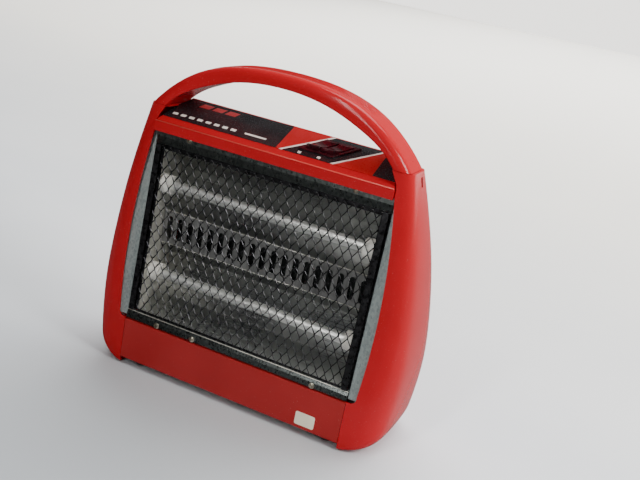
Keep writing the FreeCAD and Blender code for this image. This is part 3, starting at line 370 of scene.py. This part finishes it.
def polished_sheet(name):
    """Bright rolled reflector sheet, drawn along X, with grey heat bloom and fine smudges."""
    paint = Paint(name, (0.72, 0.73, 0.72), 0.15, 1.0)
    drawn = paint.noise(1.0, 4, 0.6, paint.stretched((6, 500, 500)))
    bloom = paint.noise(16.0, 4, 0.6)
    paint.color_from(paint.ramp(bloom, [(0.3, (0.34, 0.35, 0.35)), (0.7, (0.50, 0.51, 0.49))]))
    smudge = paint.combine("MULTIPLY", drawn, bloom)
    paint.feed("Roughness", paint.spread(smudge, 0.24, 0.38, 0.1, 0.45))
    paint.bump(drawn, 0.00001, 0.3)
    return paint.material


def satin_sheet(name, shade, colour, metallic):
    """Dull aluminised sheet: cloudy, with fine rolling lines and a few brighter rubs."""
    paint = Paint(name, colour, 0.45, metallic, ior=1.4)
    clouds = paint.noise(40.0, 4, 0.6)
    lines = paint.noise(1.0, 3, 0.6, paint.stretched((500, 500, 12)))
    mixed = paint.mixed(clouds, lines, 0.6)
    paint.color_from(paint.ramp(mixed, [(0.3, shade), (0.7, colour)]))
    paint.feed("Roughness", paint.spread(mixed, 0.34, 0.56, 0.3, 0.7))
    paint.bump(lines, 0.00003, 0.4)
    return paint.material


def dark_metal(name, colour, shade, roughness):
    """Painted or oxidised wire, dull where it is worn."""
    paint = Paint(name, colour, roughness, 0.9)
    wear = paint.noise(260.0, 3, 0.6)
    paint.color_from(paint.ramp(wear, [(0.35, shade), (0.7, colour)]))
    paint.feed("Roughness", paint.spread(wear, roughness - 0.06, roughness + 0.12, 0.3, 0.7))
    paint.bump(paint.noise(900.0, 2), 0.00003, 0.4)
    return paint.material


def milky_quartz(name):
    """Fused quartz with a satin skin: cloudy streaks drawn along the tube."""
    paint = Paint(name, (0.95, 0.95, 0.91), 0.34, 0.75, ior=1.46)
    streaks = paint.noise(1.0, 3, 0.5, paint.stretched((12, 500, 500)))
    paint.color_from(paint.ramp(streaks, [(0.3, (0.84, 0.85, 0.81)), (0.7, (0.96, 0.96, 0.93))]))
    paint.feed("Roughness", paint.spread(streaks, 0.30, 0.38, 0.3, 0.7))
    paint.bump(streaks, 0.00002, 0.3)
    return paint.material


def fired_ceramic(name):
    """White unglazed ceramic with a dry, grainy skin."""
    paint = Paint(name, (0.85, 0.83, 0.77), 0.6)
    grains = paint.noise(600.0, 3, 0.6)
    paint.color_from(paint.ramp(grains, [(0.3, (0.74, 0.71, 0.64)), (0.6, (0.88, 0.86, 0.80))]))
    paint.feed("Roughness", paint.spread(grains, 0.5, 0.75))
    paint.bump(grains, 0.00008, 0.5)
    return paint.material


def grained_plastic(name, colour, shade, roughness, metallic=0.0, ior=1.5):
    """Moulded or cast small pieces: a fine even grain over a slightly uneven colour."""
    paint = Paint(name, colour, roughness, metallic, ior=ior)
    paint.color_from(paint.ramp(paint.noise(60.0, 3), [(0.35, shade), (0.65, colour)]))
    skin = paint.noise(1400.0, 2)
    paint.feed("Roughness", paint.spread(skin, roughness - 0.06, roughness + 0.08, 0.3, 0.7))
    paint.bump(skin, 0.00004, 0.4)
    return paint.material


def dark_window_plastic(name):
    """Deep red see-through switch plastic, nearly black in its thick parts."""
    paint = Paint(name, (0.06, 0.008, 0.014), 0.14, ior=1.45, coat_weight=0.4, coat_roughness=0.04)
    depth = paint.noise(120.0, 3)
    paint.color_from(paint.ramp(depth, [(0.35, (0.025, 0.004, 0.007)), (0.7, (0.085, 0.009, 0.016))]))
    smears = paint.noise(1.0, 3, 0.6, paint.stretched((200, 60, 200)))
    paint.feed("Roughness", paint.spread(smears, 0.06, 0.22, 0.3, 0.7))
    return paint.material


def braided_sleeve(name):
    """Glass-fibre sleeve of the internal wires."""
    paint = Paint(name, (0.80, 0.78, 0.70), 0.85)
    threads = paint.cells(1500.0, "Distance")
    paint.color_from(paint.ramp(threads, [(0.1, (0.62, 0.60, 0.52)), (0.6, (0.84, 0.82, 0.75))]))
    paint.bump(threads, 0.0001, 0.7)
    return paint.material


def make_materials():
    """A look for each of the record's material slots, and a few that LOOKS and the pieces ask for."""
    return {
        "red_gloss": moulded_plastic(
            "red_gloss_look", (0.46, 0.011, 0.017), (0.40, 0.009, 0.013), 0.16, 0.25),
        # Painted highlight: a lighter copy of the red gloss plastic, for the lit line along the housing's
        # lip.
        "painted_highlight_red": moulded_plastic(
            "painted_highlight_red_look", (0.66, 0.085, 0.065), (0.56, 0.055, 0.045), 0.20, 0.25),
        "red_panel": sprayed_enamel("red_panel_look", (0.36, 0.017, 0.017), (0.31, 0.014, 0.014)),
        "galvanised": zinc_sheet("galvanised_look", (0.21, 0.245, 0.24), (0.38, 0.43, 0.42), 0.35, 0.50),
        # Painted reflection: the rails' zinc is darker than the plates', standing in for the dark
        # surroundings that their tilted bands reflect.
        "rail_steel": zinc_sheet("rail_steel_look", (0.11, 0.125, 0.12), (0.26, 0.29, 0.28), 1.0, 0.32),
        # Painted shade: a darker copy of zinc, for the dark seen behind the vent slots and the dark
        # reflection on the bottom rail.
        "painted_shade_zinc": zinc_sheet("painted_shade_zinc_look", (0.07, 0.078, 0.076), (0.13, 0.146, 0.142), 1.0, 0.30),
        "mirror_steel": polished_sheet("mirror_steel_look"),
        "dull_steel": satin_sheet("dull_steel_look", (0.14, 0.14, 0.14), (0.33, 0.33, 0.32), 0.6),
        # Painted light: a paler copy of dull steel, for light falling on the chamber walls and for highlights
        # on the fold beads.
        "painted_light_steel": satin_sheet("painted_light_steel_look", (0.50, 0.49, 0.44), (0.78, 0.76, 0.68), 0.35),
        "black_wire": dark_metal("black_wire_look", (0.07, 0.07, 0.075), (0.02, 0.02, 0.022), 0.28),
        "quartz": milky_quartz("quartz_look"),
        "heating_wire": dark_metal("heating_wire_look", (0.22, 0.20, 0.18), (0.10, 0.09, 0.09), 0.45),
        "ceramic": fired_ceramic("ceramic_look"),
        "label_print": grained_plastic(
            "label_print_look", (0.020, 0.020, 0.022), (0.012, 0.012, 0.014), 0.22),
        "label_red": grained_plastic(
            "label_red_look", (0.44, 0.012, 0.014), (0.40, 0.010, 0.012), 0.3, ior=1.2),
        "label_mark": grained_plastic("label_mark_look", (0.36, 0.030, 0.032), (0.30, 0.024, 0.026), 0.3),
        "label_white": grained_plastic("label_white_look", (0.80, 0.74, 0.68), (0.72, 0.66, 0.60), 0.3),
        "switch_red": dark_window_plastic("switch_red_look"),
        "paper_label": grained_plastic("paper_label_look", (0.95, 0.89, 0.70), (0.86, 0.79, 0.60), 0.5),
        "zinc": grained_plastic("zinc_look", (0.60, 0.56, 0.44), (0.46, 0.42, 0.34), 0.32, 1.0),
        "steel_pin": grained_plastic("steel_pin_look", (0.60, 0.60, 0.60), (0.48, 0.48, 0.48), 0.25, 1.0),
        "brass": grained_plastic("brass_look", (0.70, 0.52, 0.22), (0.58, 0.42, 0.18), 0.3, 1.0),
        "black_rubber": grained_plastic(
            "black_rubber_look", (0.022, 0.022, 0.023), (0.015, 0.015, 0.016), 0.75),
        "black_plastic": grained_plastic(
            "black_plastic_look", (0.030, 0.030, 0.032), (0.02, 0.02, 0.022), 0.45),
        "white_plastic": grained_plastic(
            "white_plastic_look", (0.80, 0.80, 0.77), (0.72, 0.72, 0.68), 0.4),
        "wire_sleeve": braided_sleeve("wire_sleeve_look"),
    }


# These nodes look unlike the rest of their material slot. The chamber walls take a paler copy of dull steel,
# painted light for the light falling on them; the bottom rail and the heat shield take a darker copy of zinc,
# painted shade.
LOOKS = {
    "left_chamber_wall": "painted_light_steel",
    "right_chamber_wall": "painted_light_steel",
    "bottom_rail": "painted_shade_zinc",
    "rear_heat_shield": "painted_shade_zinc",
}


# ---------------------------------------------------------------- mesh helpers

def add_piece(name, mesh, slots, nodes, body="root"):
    """A new piece with these material slots that stands for CAD nodes and rides on their body."""
    piece = bpy.data.objects.new(name, mesh)
    bpy.context.scene.collection.objects.link(piece)
    for slot in slots:
        mesh.materials.append(MATERIALS[slot])
    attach(piece, body)
    if nodes:
        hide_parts(*nodes)
    return piece


def mesh_from(name, shape):
    mesh = bpy.data.meshes.new(name)
    shape.to_mesh(mesh)
    shape.free()
    return mesh


def grow(piece, kind, **settings):
    modifier = piece.modifiers.new(kind.lower(), kind)
    for setting, value in settings.items():
        setattr(modifier, setting, value)


def settle(piece):
    """Turns the piece's modifiers into its own mesh."""
    evaluated = piece.evaluated_get(bpy.context.evaluated_depsgraph_get())
    mesh = bpy.data.meshes.new_from_object(evaluated)
    piece.modifiers.clear()
    piece.data = mesh
    return mesh


def beam(shape, stations, closed_ends=False):
    """Skin over a row of equal rings of points."""
    rings = [[shape.verts.new(point) for point in ring] for ring in stations]
    for near, far in zip(rings, rings[1:]):
        for index in range(len(near)):
            following = (index + 1) % len(near)
            shape.faces.new((near[index], near[following], far[following], far[index]))
    if closed_ends:
        shape.faces.new(rings[0][::-1])
        shape.faces.new(rings[-1])


def round_wire(shape, points, radius, sides=8):
    """Round wire along a row of points."""
    stations = []
    across = None
    for index, point in enumerate(points):
        before = points[max(index - 1, 0)]
        after = points[min(index + 1, len(points) - 1)]
        along = (after - before).normalized()
        if across is None:
            across = along.orthogonal().normalized()
        across = (across - along * across.dot(along)).normalized()
        other = along.cross(across)
        stations.append([
            point + radius * (across * math.cos(turn) + other * math.sin(turn))
            for turn in [2 * math.pi * side / sides for side in range(sides)]
        ])
    beam(shape, stations, closed_ends=True)


def islands(node):
    """Lowest and highest corner of each separate solid in a CAD node."""
    mesh = NODES[node].data
    keys = [tuple(round(value, 6) for value in vertex.co) for vertex in mesh.vertices]
    group = {key: key for key in keys}

    def top(key):
        while group[key] != key:
            key = group[key]
        return key

    for polygon in mesh.polygons:
        first = top(keys[polygon.vertices[0]])
        for vertex in polygon.vertices[1:]:
            group[top(keys[vertex])] = first
    boxes = {}
    for key in set(keys):
        boxes.setdefault(top(key), []).append(key)
    found = []
    for points in boxes.values():
        low = Vector([min(point[axis] for point in points) for axis in range(3)])
        high = Vector([max(point[axis] for point in points) for axis in range(3)])
        found.append((low, high))
    return sorted(found, key=lambda box: tuple(box[0]))


# ---------------------------------------------------------------- wire guard

WINDOW_LEAN = math.radians(3.4)
CELL_WIDTH = 9.3 * MM
CELL_HEIGHT = 16.7 * MM
STRAND_WIDTH = 0.95 * MM
STRAND_THICKNESS = 0.5 * MM
BOND_HEIGHT = 2.0 * MM
BOND_WIDTH = 1.35 * MM
BOND_TAPER = 0.75
BOND_LAP = 0.4
STRAND_TWISTS = [math.radians(angle) for angle in (6, 22, 34, 38, 30)]
SHEET_SET_BACK = 0.8 * STRAND_WIDTH
TIP_DROP = 1.3 * MM
TIP_STAND = 0.6 * STRAND_WIDTH
FLANGE_LAP = 2.0 * MM
FLANGE_SET_BACK = 4.3 * MM
FLANGE_SHEET = 0.5 * MM
FLANGE_TUCK = 5.0 * MM
FLANGE_SHOW = 4.2 * MM
LIP_HEIGHT = 10.3 * MM
LIP_BEAD = 0.6 * MM


class GuardSheet:
    """The guard's leaning plane, with its grid of half cells."""

    def __init__(self):
        low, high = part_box("guard_mesh")
        length = (high.z - low.z) / math.cos(WINDOW_LEAN)
        self.upward = Vector((0, math.sin(WINDOW_LEAN), math.cos(WINDOW_LEAN)))
        self.inward = Vector((0, math.cos(WINDOW_LEAN), -math.sin(WINDOW_LEAN)))
        self.rightward = Vector((1, 0, 0))
        self.origin = Vector((0, low.y, low.z)) + self.inward * SHEET_SET_BACK
        self.rows = round(length / (CELL_HEIGHT / 2))
        self.row_height = length / self.rows
        self.columns = range(-int(high.x / (CELL_WIDTH / 2)), int(high.x / (CELL_WIDTH / 2)) + 1)

    def place(self, column, height):
        return self.origin + self.rightward * column * CELL_WIDTH / 2 + self.upward * height


def strand(shape, sheet, start, end, sign):
    """Flat strand from one bond to the next, twisted out of the sheet on its way."""
    along = (end - start).normalized()
    side = along.cross(sheet.inward) * sign
    stations = []
    for step, twist in enumerate(STRAND_TWISTS):
        centre = start.lerp(end, step / (len(STRAND_TWISTS) - 1))
        face = -sheet.inward * math.cos(twist) + side * math.sin(twist)
        edge = along.cross(face) * STRAND_WIDTH / 2
        depth = face * STRAND_THICKNESS / 2
        stations.append([centre + edge + depth, centre - edge + depth,
                         centre - edge - depth, centre + edge - depth])
    beam(shape, stations, closed_ends=True)


def bond(shape, sheet, centre):
    """Short upright bridge where two strands meet."""
    deep = sheet.inward * STRAND_THICKNESS / 2
    tall = sheet.upward * BOND_HEIGHT / 2
    stations = []
    for end, share in ((-1, BOND_TAPER), (0, 1.0), (1, BOND_TAPER)):
        middle = centre + tall * end
        wide = sheet.rightward * BOND_WIDTH / 2 * share
        stations.append([middle + wide - deep, middle - wide - deep,
                         middle - wide + deep, middle + wide + deep])
    beam(shape, stations, closed_ends=True)


def expanded_mesh(sheet):
    """One slit and stretched sheet: flat strands that twist between short upright bonds."""
    shape = bmesh.new()
    lap = sheet.upward * BOND_HEIGHT * BOND_LAP
    for row in range(sheet.rows + 1):
        height = row * sheet.row_height
        for column in sheet.columns:
            if (row + column) % 2:
                continue
            if 0 < row < sheet.rows:
                bond(shape, sheet, sheet.place(column, height))
            if row == sheet.rows:
                continue
            start = sheet.place(column, height) + lap
            for sign in (-1, 1):
                if column + sign not in sheet.columns:
                    continue
                end = sheet.place(column + sign, height + sheet.row_height) - lap
                strand(shape, sheet, start, end, -sign)
    add_piece("expanded_wire_guard", mesh_from("expanded_wire_guard", shape), ["black_wire"], ["guard_mesh"])


def cut_ends(sheet):
    """Bright, uneven tips where the sheet was cut off along its top edge."""
    tips = bmesh.new()
    chance = random.Random("cut ends")
    deep = sheet.inward * STRAND_THICKNESS
    for column in sheet.columns:
        if (sheet.rows + column) % 2:
            continue
        centre = sheet.place(column, sheet.rows * sheet.row_height - TIP_DROP) - sheet.inward * TIP_STAND
        wide = sheet.rightward * MM * chance.uniform(0.5, 0.9)
        top = centre + sheet.upward * MM * chance.uniform(0.5, 0.8)
        beam(tips, [
            [centre + wide - deep, centre - wide - deep * 0.6, centre - wide + deep, centre + wide + deep],
            [top + wide * 0.6 - deep, top - wide * 0.8 - deep * 0.8, top - wide * 0.8 + deep,
             top + wide * 0.6 + deep],
        ], closed_ends=True)
    bmesh.ops.recalc_face_normals(tips, faces=tips.faces)
    add_piece("guard_cut_ends", mesh_from("guard_cut_ends", tips), ["steel_pin"], [])


def guard_flanges():
    """Thin black strips behind the guard's four edges, which carry it on behind the plates and rails; the top
    one is a black sheet that paints the shade band under the top rail.
    """
    low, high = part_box("left_guard_channel")
    plate_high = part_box("left_window_plate")[1]
    outer = -plate_high.x + FLANGE_LAP
    inner = -high.x - FLANGE_LAP
    across = (-inner, inner)
    behind_sides = FLANGE_SET_BACK + FLANGE_SHEET
    strips = [(side + "_guard_flange", (inner * sign, outer * sign), (low.z, high.z), FLANGE_SET_BACK)
              for side, sign in SIDES]
    strips += [
        ("bottom_guard_flange", across, (low.z - FLANGE_TUCK, low.z + FLANGE_SHOW / 4), behind_sides),
        # Painted shade: a black strip where the band under the top rail lies in shade.
        ("top_shade_strip", across, (high.z - FLANGE_SHOW, high.z + FLANGE_SHEET), behind_sides),
    ]
    for name, reach, heights, set_back in strips:
        shape = bmesh.new()
        stations = []
        for z in heights:
            front = low.y + set_back + (z - low.z) * math.tan(WINDOW_LEAN)
            back = front + FLANGE_SHEET
            stations.append([Vector((x, y, z)) for x, y in
                             ((reach[0], front), (reach[1], front), (reach[1], back), (reach[0], back))])
        beam(shape, stations, closed_ends=True)
        bmesh.ops.recalc_face_normals(shape, faces=shape.faces)
        add_piece(name, mesh_from(name, shape), ["black_wire"], [])


def fold_bead(name, half_length, y, z, radius, slot, look):
    """Round bead along X, on a fold or a corner."""
    shape = bmesh.new()
    round_wire(shape, [Vector((-half_length, y, z)), Vector((half_length, y, z))], radius, 12)
    bead = add_piece(name, mesh_from(name, shape), [slot], [])
    bead.data.materials[0] = MATERIALS[look]
    bead.data.shade_smooth()


def fold_beads():
    """Rolled hems in the window, and the moulded line along the corner of the housing's lip, in paler looks
    that paint highlights on them.
    """
    low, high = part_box("centre_vent_strip")
    # Painted highlights: the hems take the paler steel look.
    fold_bead("upper_fold_bead", high.x, low.y, high.z, 0.5 * MM, "steel_pin", "painted_light_steel")
    fold_bead("lower_fold_bead", high.x, low.y, low.z, 0.35 * MM, "dull_steel", "painted_light_steel")
    low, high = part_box("bottom_rail")
    radius = 0.4 * MM
    rail_edge = low.y + (high.z - low.z) * math.tan(WINDOW_LEAN)
    fold_bead("rail_fold_bead", high.x, rail_edge + radius, high.z, radius, "steel_pin", "painted_light_steel")
    low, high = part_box("control_housing")
    # Painted highlight: the lip's line takes a lighter red than the housing.
    fold_bead("lip_fold_bead", high.x - LIP_BEAD, low.y + LIP_BEAD / 2, low.z + LIP_HEIGHT - LIP_BEAD / 2,
              LIP_BEAD, "red_gloss", "painted_highlight_red")


# ---------------------------------------------------------------- printed panel sheet

LABEL_SLOPE = math.atan2(17.0, 36.5)
LABEL_MARGIN = 0.6
LABEL_BACK_MARGIN = 1.6
LABEL_LENGTH = 40.3
LABEL_CORNER = 20
SHEET_THICKNESS = 0.35 * MM
PRINT_THICKNESS = 0.3 * MM
PRINT_RISE = 0.04
LINE_SLANT = 0.97
LINE_WIDTH = 3.3
SWITCH_CENTRE = (48.3, 20.0)
SWITCH_SKEW = 0.8
SWITCH_HOLE = (17.0, 11.2)
PRINT_SLOTS = ["label_print", "label_red", "label_white", "label_mark"]
PRINT_BLACK, PRINT_RED, PRINT_WHITE, PRINT_MARK = range(4)


def on_label(x, up, rise=0.0):
    """A place on the slope from millimetres across and up it."""
    low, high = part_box("control_label")
    up = (up - LABEL_MARGIN) * MM
    rise = rise * MM
    return Vector((x * MM,
                   low.y + up * math.cos(LABEL_SLOPE) - rise * math.sin(LABEL_SLOPE),
                   low.z + up * math.sin(LABEL_SLOPE) + (SHEET_THICKNESS + rise) * math.cos(LABEL_SLOPE)))


def half_label(up):
    """Half-width of the sheet at a distance up the slope: it narrows faster above its corner."""
    return 122.3 - 0.145 * up if up < LABEL_CORNER else 119.4 - 0.44 * (up - LABEL_CORNER)


def skewed(half_length, half_width):
    """Slanted rectangle around the switch."""
    x, up = SWITCH_CENTRE
    shift = SWITCH_SKEW * half_width
    return [(x - half_length - shift, up - half_width), (x + half_length - shift, up - half_width),
            (x + half_length + shift, up + half_width), (x - half_length + shift, up + half_width)]


def printed_fields():
    """Black and red fields parted by two slanted white lines, which end at the sheet's edges."""
    front = LABEL_MARGIN
    back = LABEL_LENGTH - LABEL_BACK_MARGIN
    left_edge = 2.0
    right_edge = 99.5
    first_line = 5.3
    second_line = 57.8
    slide = LINE_SLANT * back
    first_end = first_line + LINE_WIDTH
    second_end = second_line + LINE_WIDTH
    line_top = front + (right_edge - second_end) / LINE_SLANT
    corner = half_label(LABEL_CORNER)

    fields = [
        (PRINT_BLACK, [(-half_label(front), front), (left_edge, front), (left_edge, back),
                       (-half_label(back), back), (-corner, LABEL_CORNER)]),
        (PRINT_RED, [(left_edge, front), (first_line, front), (first_line + slide, back), (left_edge, back)]),
        (PRINT_WHITE, [(first_line, front), (first_end, front), (first_end + slide, back),
                       (first_line + slide, back)]),
        (PRINT_WHITE, [(second_line, front), (second_end, front), (right_edge, line_top),
                       (right_edge, back), (second_line + slide, back)]),
        (PRINT_RED, [(second_end, front), (right_edge, front), (right_edge, line_top)]),
        (PRINT_BLACK, [(right_edge, front), (half_label(front), front), (corner, LABEL_CORNER),
                       (half_label(back), back), (right_edge, back)]),
    ]
    outer = [(first_end, front), (second_line, front), (second_line + slide, back),
             (first_end + slide, back)]
    hole = skewed(*SWITCH_HOLE)
    for index in range(4):
        following = (index + 1) % 4
        fields.append((PRINT_BLACK, [outer[index], outer[following], hole[following], hole[index]]))
    return fields


def upright_block(x, up, width, height, slant=0.0):
    return [(x, up), (x + width, up), (x + width + slant, up + height), (x + slant, up + height)]


def printed_marks():
    """Plain blocks and bars in place of lettering."""
    marks = [(PRINT_WHITE, upright_block(-115.0 + column * 9.3, 6.5, 5.6, 3.5)) for column in range(8)]
    marks.append((PRINT_WHITE, upright_block(-35.0, 7.0, 23.0, 2.4)))
    marks += [(PRINT_MARK, upright_block(-98.0 + bar * 14.5, 28.0, 11.5, 6.5, 3.0)) for bar in range(3)]
    marks += [(PRINT_WHITE, upright_block(x, 2.2, 3.4, 3.2)) for x in (23.5, 43.2)]
    return marks


def printed_sheet():
    """The film on the slope, its marks a hair above its fields."""
    shape = bmesh.new()
    for colour, outline in printed_fields():
        face = shape.faces.new([shape.verts.new(on_label(x, up)) for x, up in outline])
        face.material_index = colour
    bmesh.ops.remove_doubles(shape, verts=shape.verts, dist=0.01 * MM)
    for colour, outline in printed_marks():
        face = shape.faces.new([shape.verts.new(on_label(x, up, PRINT_RISE)) for x, up in outline])
        face.material_index = colour
    mesh = mesh_from("printed_panel_sheet", shape)
    piece = add_piece("printed_panel_sheet", mesh, PRINT_SLOTS, ["control_label"])
    grow(piece, "SOLIDIFY", thickness=PRINT_THICKNESS, offset=-1.0)
    settle(piece)


# ---------------------------------------------------------------- small pieces

HEAD_SEGMENTS = 32
HEAD_RIM = 0.35
HEAD_STEPS = 5
HEAD_ROUNDING = 0.94


def pan_head(radius, height):
    """Domed screw head, on the origin and pointing along +Z, with a cross recess."""
    profile = [(radius, 0.0), (radius, height * HEAD_RIM)]
    for step in range(1, HEAD_STEPS + 1):
        turn = math.pi / 2 * step / HEAD_STEPS
        dome = HEAD_RIM + (1 - HEAD_RIM) * math.sin(turn)
        profile.append((radius * math.cos(turn * HEAD_ROUNDING), height * dome))
    turns = [2 * math.pi * segment / HEAD_SEGMENTS for segment in range(HEAD_SEGMENTS)]
    shape = bmesh.new()
    beam(shape, [[Vector((r * math.cos(turn), r * math.sin(turn), z)) for turn in turns]
                 for r, z in profile], closed_ends=True)
    head = bpy.data.objects.new("head_blank", mesh_from("head_blank", shape))
    bpy.context.scene.collection.objects.link(head)
    cutters = []
    for turn in (0.0, math.pi / 2):
        slot = bmesh.new()
        bmesh.ops.create_cube(slot, size=1.0)
        size = Matrix.Diagonal((radius * 1.15, radius * 0.24, height * 1.1, 1.0))
        lift = Matrix.Translation((0, 0, height))
        bmesh.ops.transform(slot, matrix=lift @ Matrix.Rotation(turn, 4, "Z") @ size, verts=slot.verts)
        cutter = bpy.data.objects.new("slot_cutter", mesh_from("slot_cutter", slot))
        bpy.context.scene.collection.objects.link(cutter)
        grow(head, "BOOLEAN", object=cutter, operation="DIFFERENCE", solver="EXACT")
        cutters.append(cutter)
    bpy.context.view_layer.update()
    mesh = settle(head)
    for spare in cutters + [head]:
        bpy.data.objects.remove(spare)
    return mesh


def screw_heads(name, node, direction):
    """A cross-recess head on every screw of a CAD node, facing the given way."""
    facing = Vector(direction)
    turn_to = Vector((0, 0, 1)).rotation_difference(facing).to_matrix().to_4x4()
    axis = max(range(3), key=lambda index: abs(facing[index]))
    shape = bmesh.new()
    chance = random.Random(node)
    for low, high in islands(node):
        centre = (low + high) / 2
        centre[axis] = low[axis] if facing[axis] > 0 else high[axis]
        sizes = [(high - low)[index] for index in range(3) if index != axis]
        blank = pan_head(min(sizes) / 2, (high - low)[axis] * 0.95)
        spin = Matrix.Rotation(chance.uniform(0, math.pi), 4, "Z")
        blank.transform(Matrix.Translation(centre) @ turn_to @ spin)
        shape.from_mesh(blank)
    add_piece(name, mesh_from(name, shape), ["zinc"], [node])


STICKER_CORNER = 1.6 * MM


def sticker():
    """Blank cream sticker with rounded corners on the lower front panel."""
    low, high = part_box("rating_label")
    radius = STICKER_CORNER
    outline = []
    for corner, (x, z) in enumerate(((high.x, high.z), (low.x, high.z), (low.x, low.z), (high.x, low.z))):
        for step in range(7):
            turn = math.pi / 2 * (corner + step / 6)
            inward_x = radius if x == low.x else -radius
            inward_z = radius if z == low.z else -radius
            outline.append(Vector((x + inward_x + radius * math.cos(turn), low.y,
                                   z + inward_z + radius * math.sin(turn))))
    shape = bmesh.new()
    back = [point + Vector((0, high.y - low.y, 0)) for point in outline]
    beam(shape, [outline, back], closed_ends=True)
    bmesh.ops.recalc_face_normals(shape, faces=shape.faces)
    add_piece("blank_sticker", mesh_from("blank_sticker", shape), ["paper_label"], ["rating_label"])


def helix(centre, along, radius, length, turns, points_per_turn):
    """Points of an evenly wound coil around its middle."""
    side = along.orthogonal().normalized()
    other = along.cross(side)
    total = int(turns * points_per_turn)
    points = []
    for step in range(total + 1):
        angle = 2 * math.pi * step / points_per_turn
        points.append(centre + along * length * (step / total - 0.5)
                      + radius * (side * math.cos(angle) + other * math.sin(angle)))
    return points


COIL_WIRE = 0.35 * MM
COIL_TURNS = 84
SPRING_WIRE = 0.3 * MM
SPRING_TURNS = 7


def heating_coil(node):
    """Resistance winding in place of the plain rod."""
    low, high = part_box(node)
    radius = (high.z - low.z) / 2 - COIL_WIRE
    shape = bmesh.new()
    length = high.x - low.x - 2 * COIL_WIRE
    points = helix((low + high) / 2, Vector((1, 0, 0)), radius, length, COIL_TURNS, 10)
    round_wire(shape, points, COIL_WIRE, 6)
    piece = add_piece(node + "_winding", mesh_from(node, shape), ["heating_wire"], [node])
    piece.data.shade_smooth()


def plunger_spring():
    """Wound spring in place of the plain tube."""
    low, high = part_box("tip_switch_spring")
    radius = (high.x - low.x) / 2 - SPRING_WIRE
    length = high.z - low.z - 2 * SPRING_WIRE
    shape = bmesh.new()
    points = helix((low + high) / 2, Vector((0, 0, 1)), radius, length, SPRING_TURNS, 16)
    round_wire(shape, points, SPRING_WIRE, 8)
    mesh = mesh_from("plunger_spring", shape)
    piece = add_piece("plunger_spring", mesh, ["steel_pin"], ["tip_switch_spring"])
    piece.data.shade_smooth()


# The ribs' places and sizes, in millimetres.
RIB_ROWS = (-34.5, -30.5, -26.5, -22.5, -18.5)
RIB_REACH = (-92.0, 88.0)
RIB_STEP = 2.0
RIB_WIDTH = 1.3
RIB_RISE = 0.5
RIB_FADE_STEPS = 3
RAY_START = 0.05


def handle_ribs():
    """Five fine grip ribs moulded along the top of the handle, laid on its surface."""
    handle = NODES["carry_handle"]
    surface = BVHTree.FromObject(handle, bpy.context.evaluated_depsgraph_get())
    shape = bmesh.new()
    start, end = RIB_REACH
    count = int((end - start) / RIB_STEP)
    for row in RIB_ROWS:
        stations = []
        for index in range(count + 1):
            across = start + index * RIB_STEP
            fade = min(1.0, index / RIB_FADE_STEPS, (count - index) / RIB_FADE_STEPS)
            above = Vector((across * MM, row * MM, CAD_BOX[1].z + RAY_START))
            place, normal, _, _ = surface.ray_cast(above, Vector((0, 0, -1)))
            ring = []
            for turn in [math.pi * side / 4 for side in range(8)]:
                side_step = Vector((0, math.cos(turn) * RIB_WIDTH / 2 * MM, 0))
                ring.append(place + side_step + normal * math.sin(turn) * RIB_RISE * MM * fade)
            stations.append(ring)
        beam(shape, stations, closed_ends=True)
    bmesh.ops.recalc_face_normals(shape, faces=shape.faces)
    piece = add_piece("handle_grip_ribs", mesh_from("handle_grip_ribs", shape), ["red_gloss"], [])
    piece.data.shade_smooth()


# Width of the small round on each node's edges, in millimetres.
SOFT_EDGES = {
    "control_housing": 0.8, "front_lower_panel": 0.6, "left_window_plate": 0.3, "right_window_plate": 0.3,
    "top_rail": 0.35, "bottom_rail": 0.35, "centre_vent_strip": 0.35, "switch_frame": 0.5,
    "low_heat_rocker": 0.5, "high_heat_rocker": 0.5, "left_guard_channel": 0.3, "right_guard_channel": 0.3,
    "rear_cover": 0.5, "upper_reflector": 0.35, "lower_reflector": 0.35,
}


def soften_edges():
    """Small rounds on folded and moulded edges, so that they catch the light."""
    for node_name, width in SOFT_EDGES.items():
        node = NODES[node_name]
        grow(node, "WELD", merge_threshold=0.01 * MM)
        grow(node, "BEVEL", width=width * MM, segments=3, limit_method="ANGLE",
             angle_limit=math.radians(24), harden_normals=True, use_clamp_overlap=True)


# ---------------------------------------------------------------- build

make_camera()
make_world()
make_lights()
make_floor()
make_cards()
MATERIALS = make_materials()

for node_name, node in NODES.items():
    for index in range(len(node.data.materials)):
        node.data.materials[index] = MATERIALS[LOOKS.get(node_name, SLOTS[node_name])]

guard_sheet = GuardSheet()
expanded_mesh(guard_sheet)
cut_ends(guard_sheet)
guard_flanges()
fold_beads()
printed_sheet()
screw_heads("rail_screw_heads", "rail_screws", (0, -math.cos(WINDOW_LEAN), math.sin(WINDOW_LEAN)))
screw_heads("rear_screw_heads", "rear_cover_screws", (0, 1, 0))
screw_heads("base_screw_heads", "base_screws", (0, 0, -1))
sticker()
handle_ribs()
soften_edges()
heating_coil("upper_heating_coil")
heating_coil("lower_heating_coil")
plunger_spring()
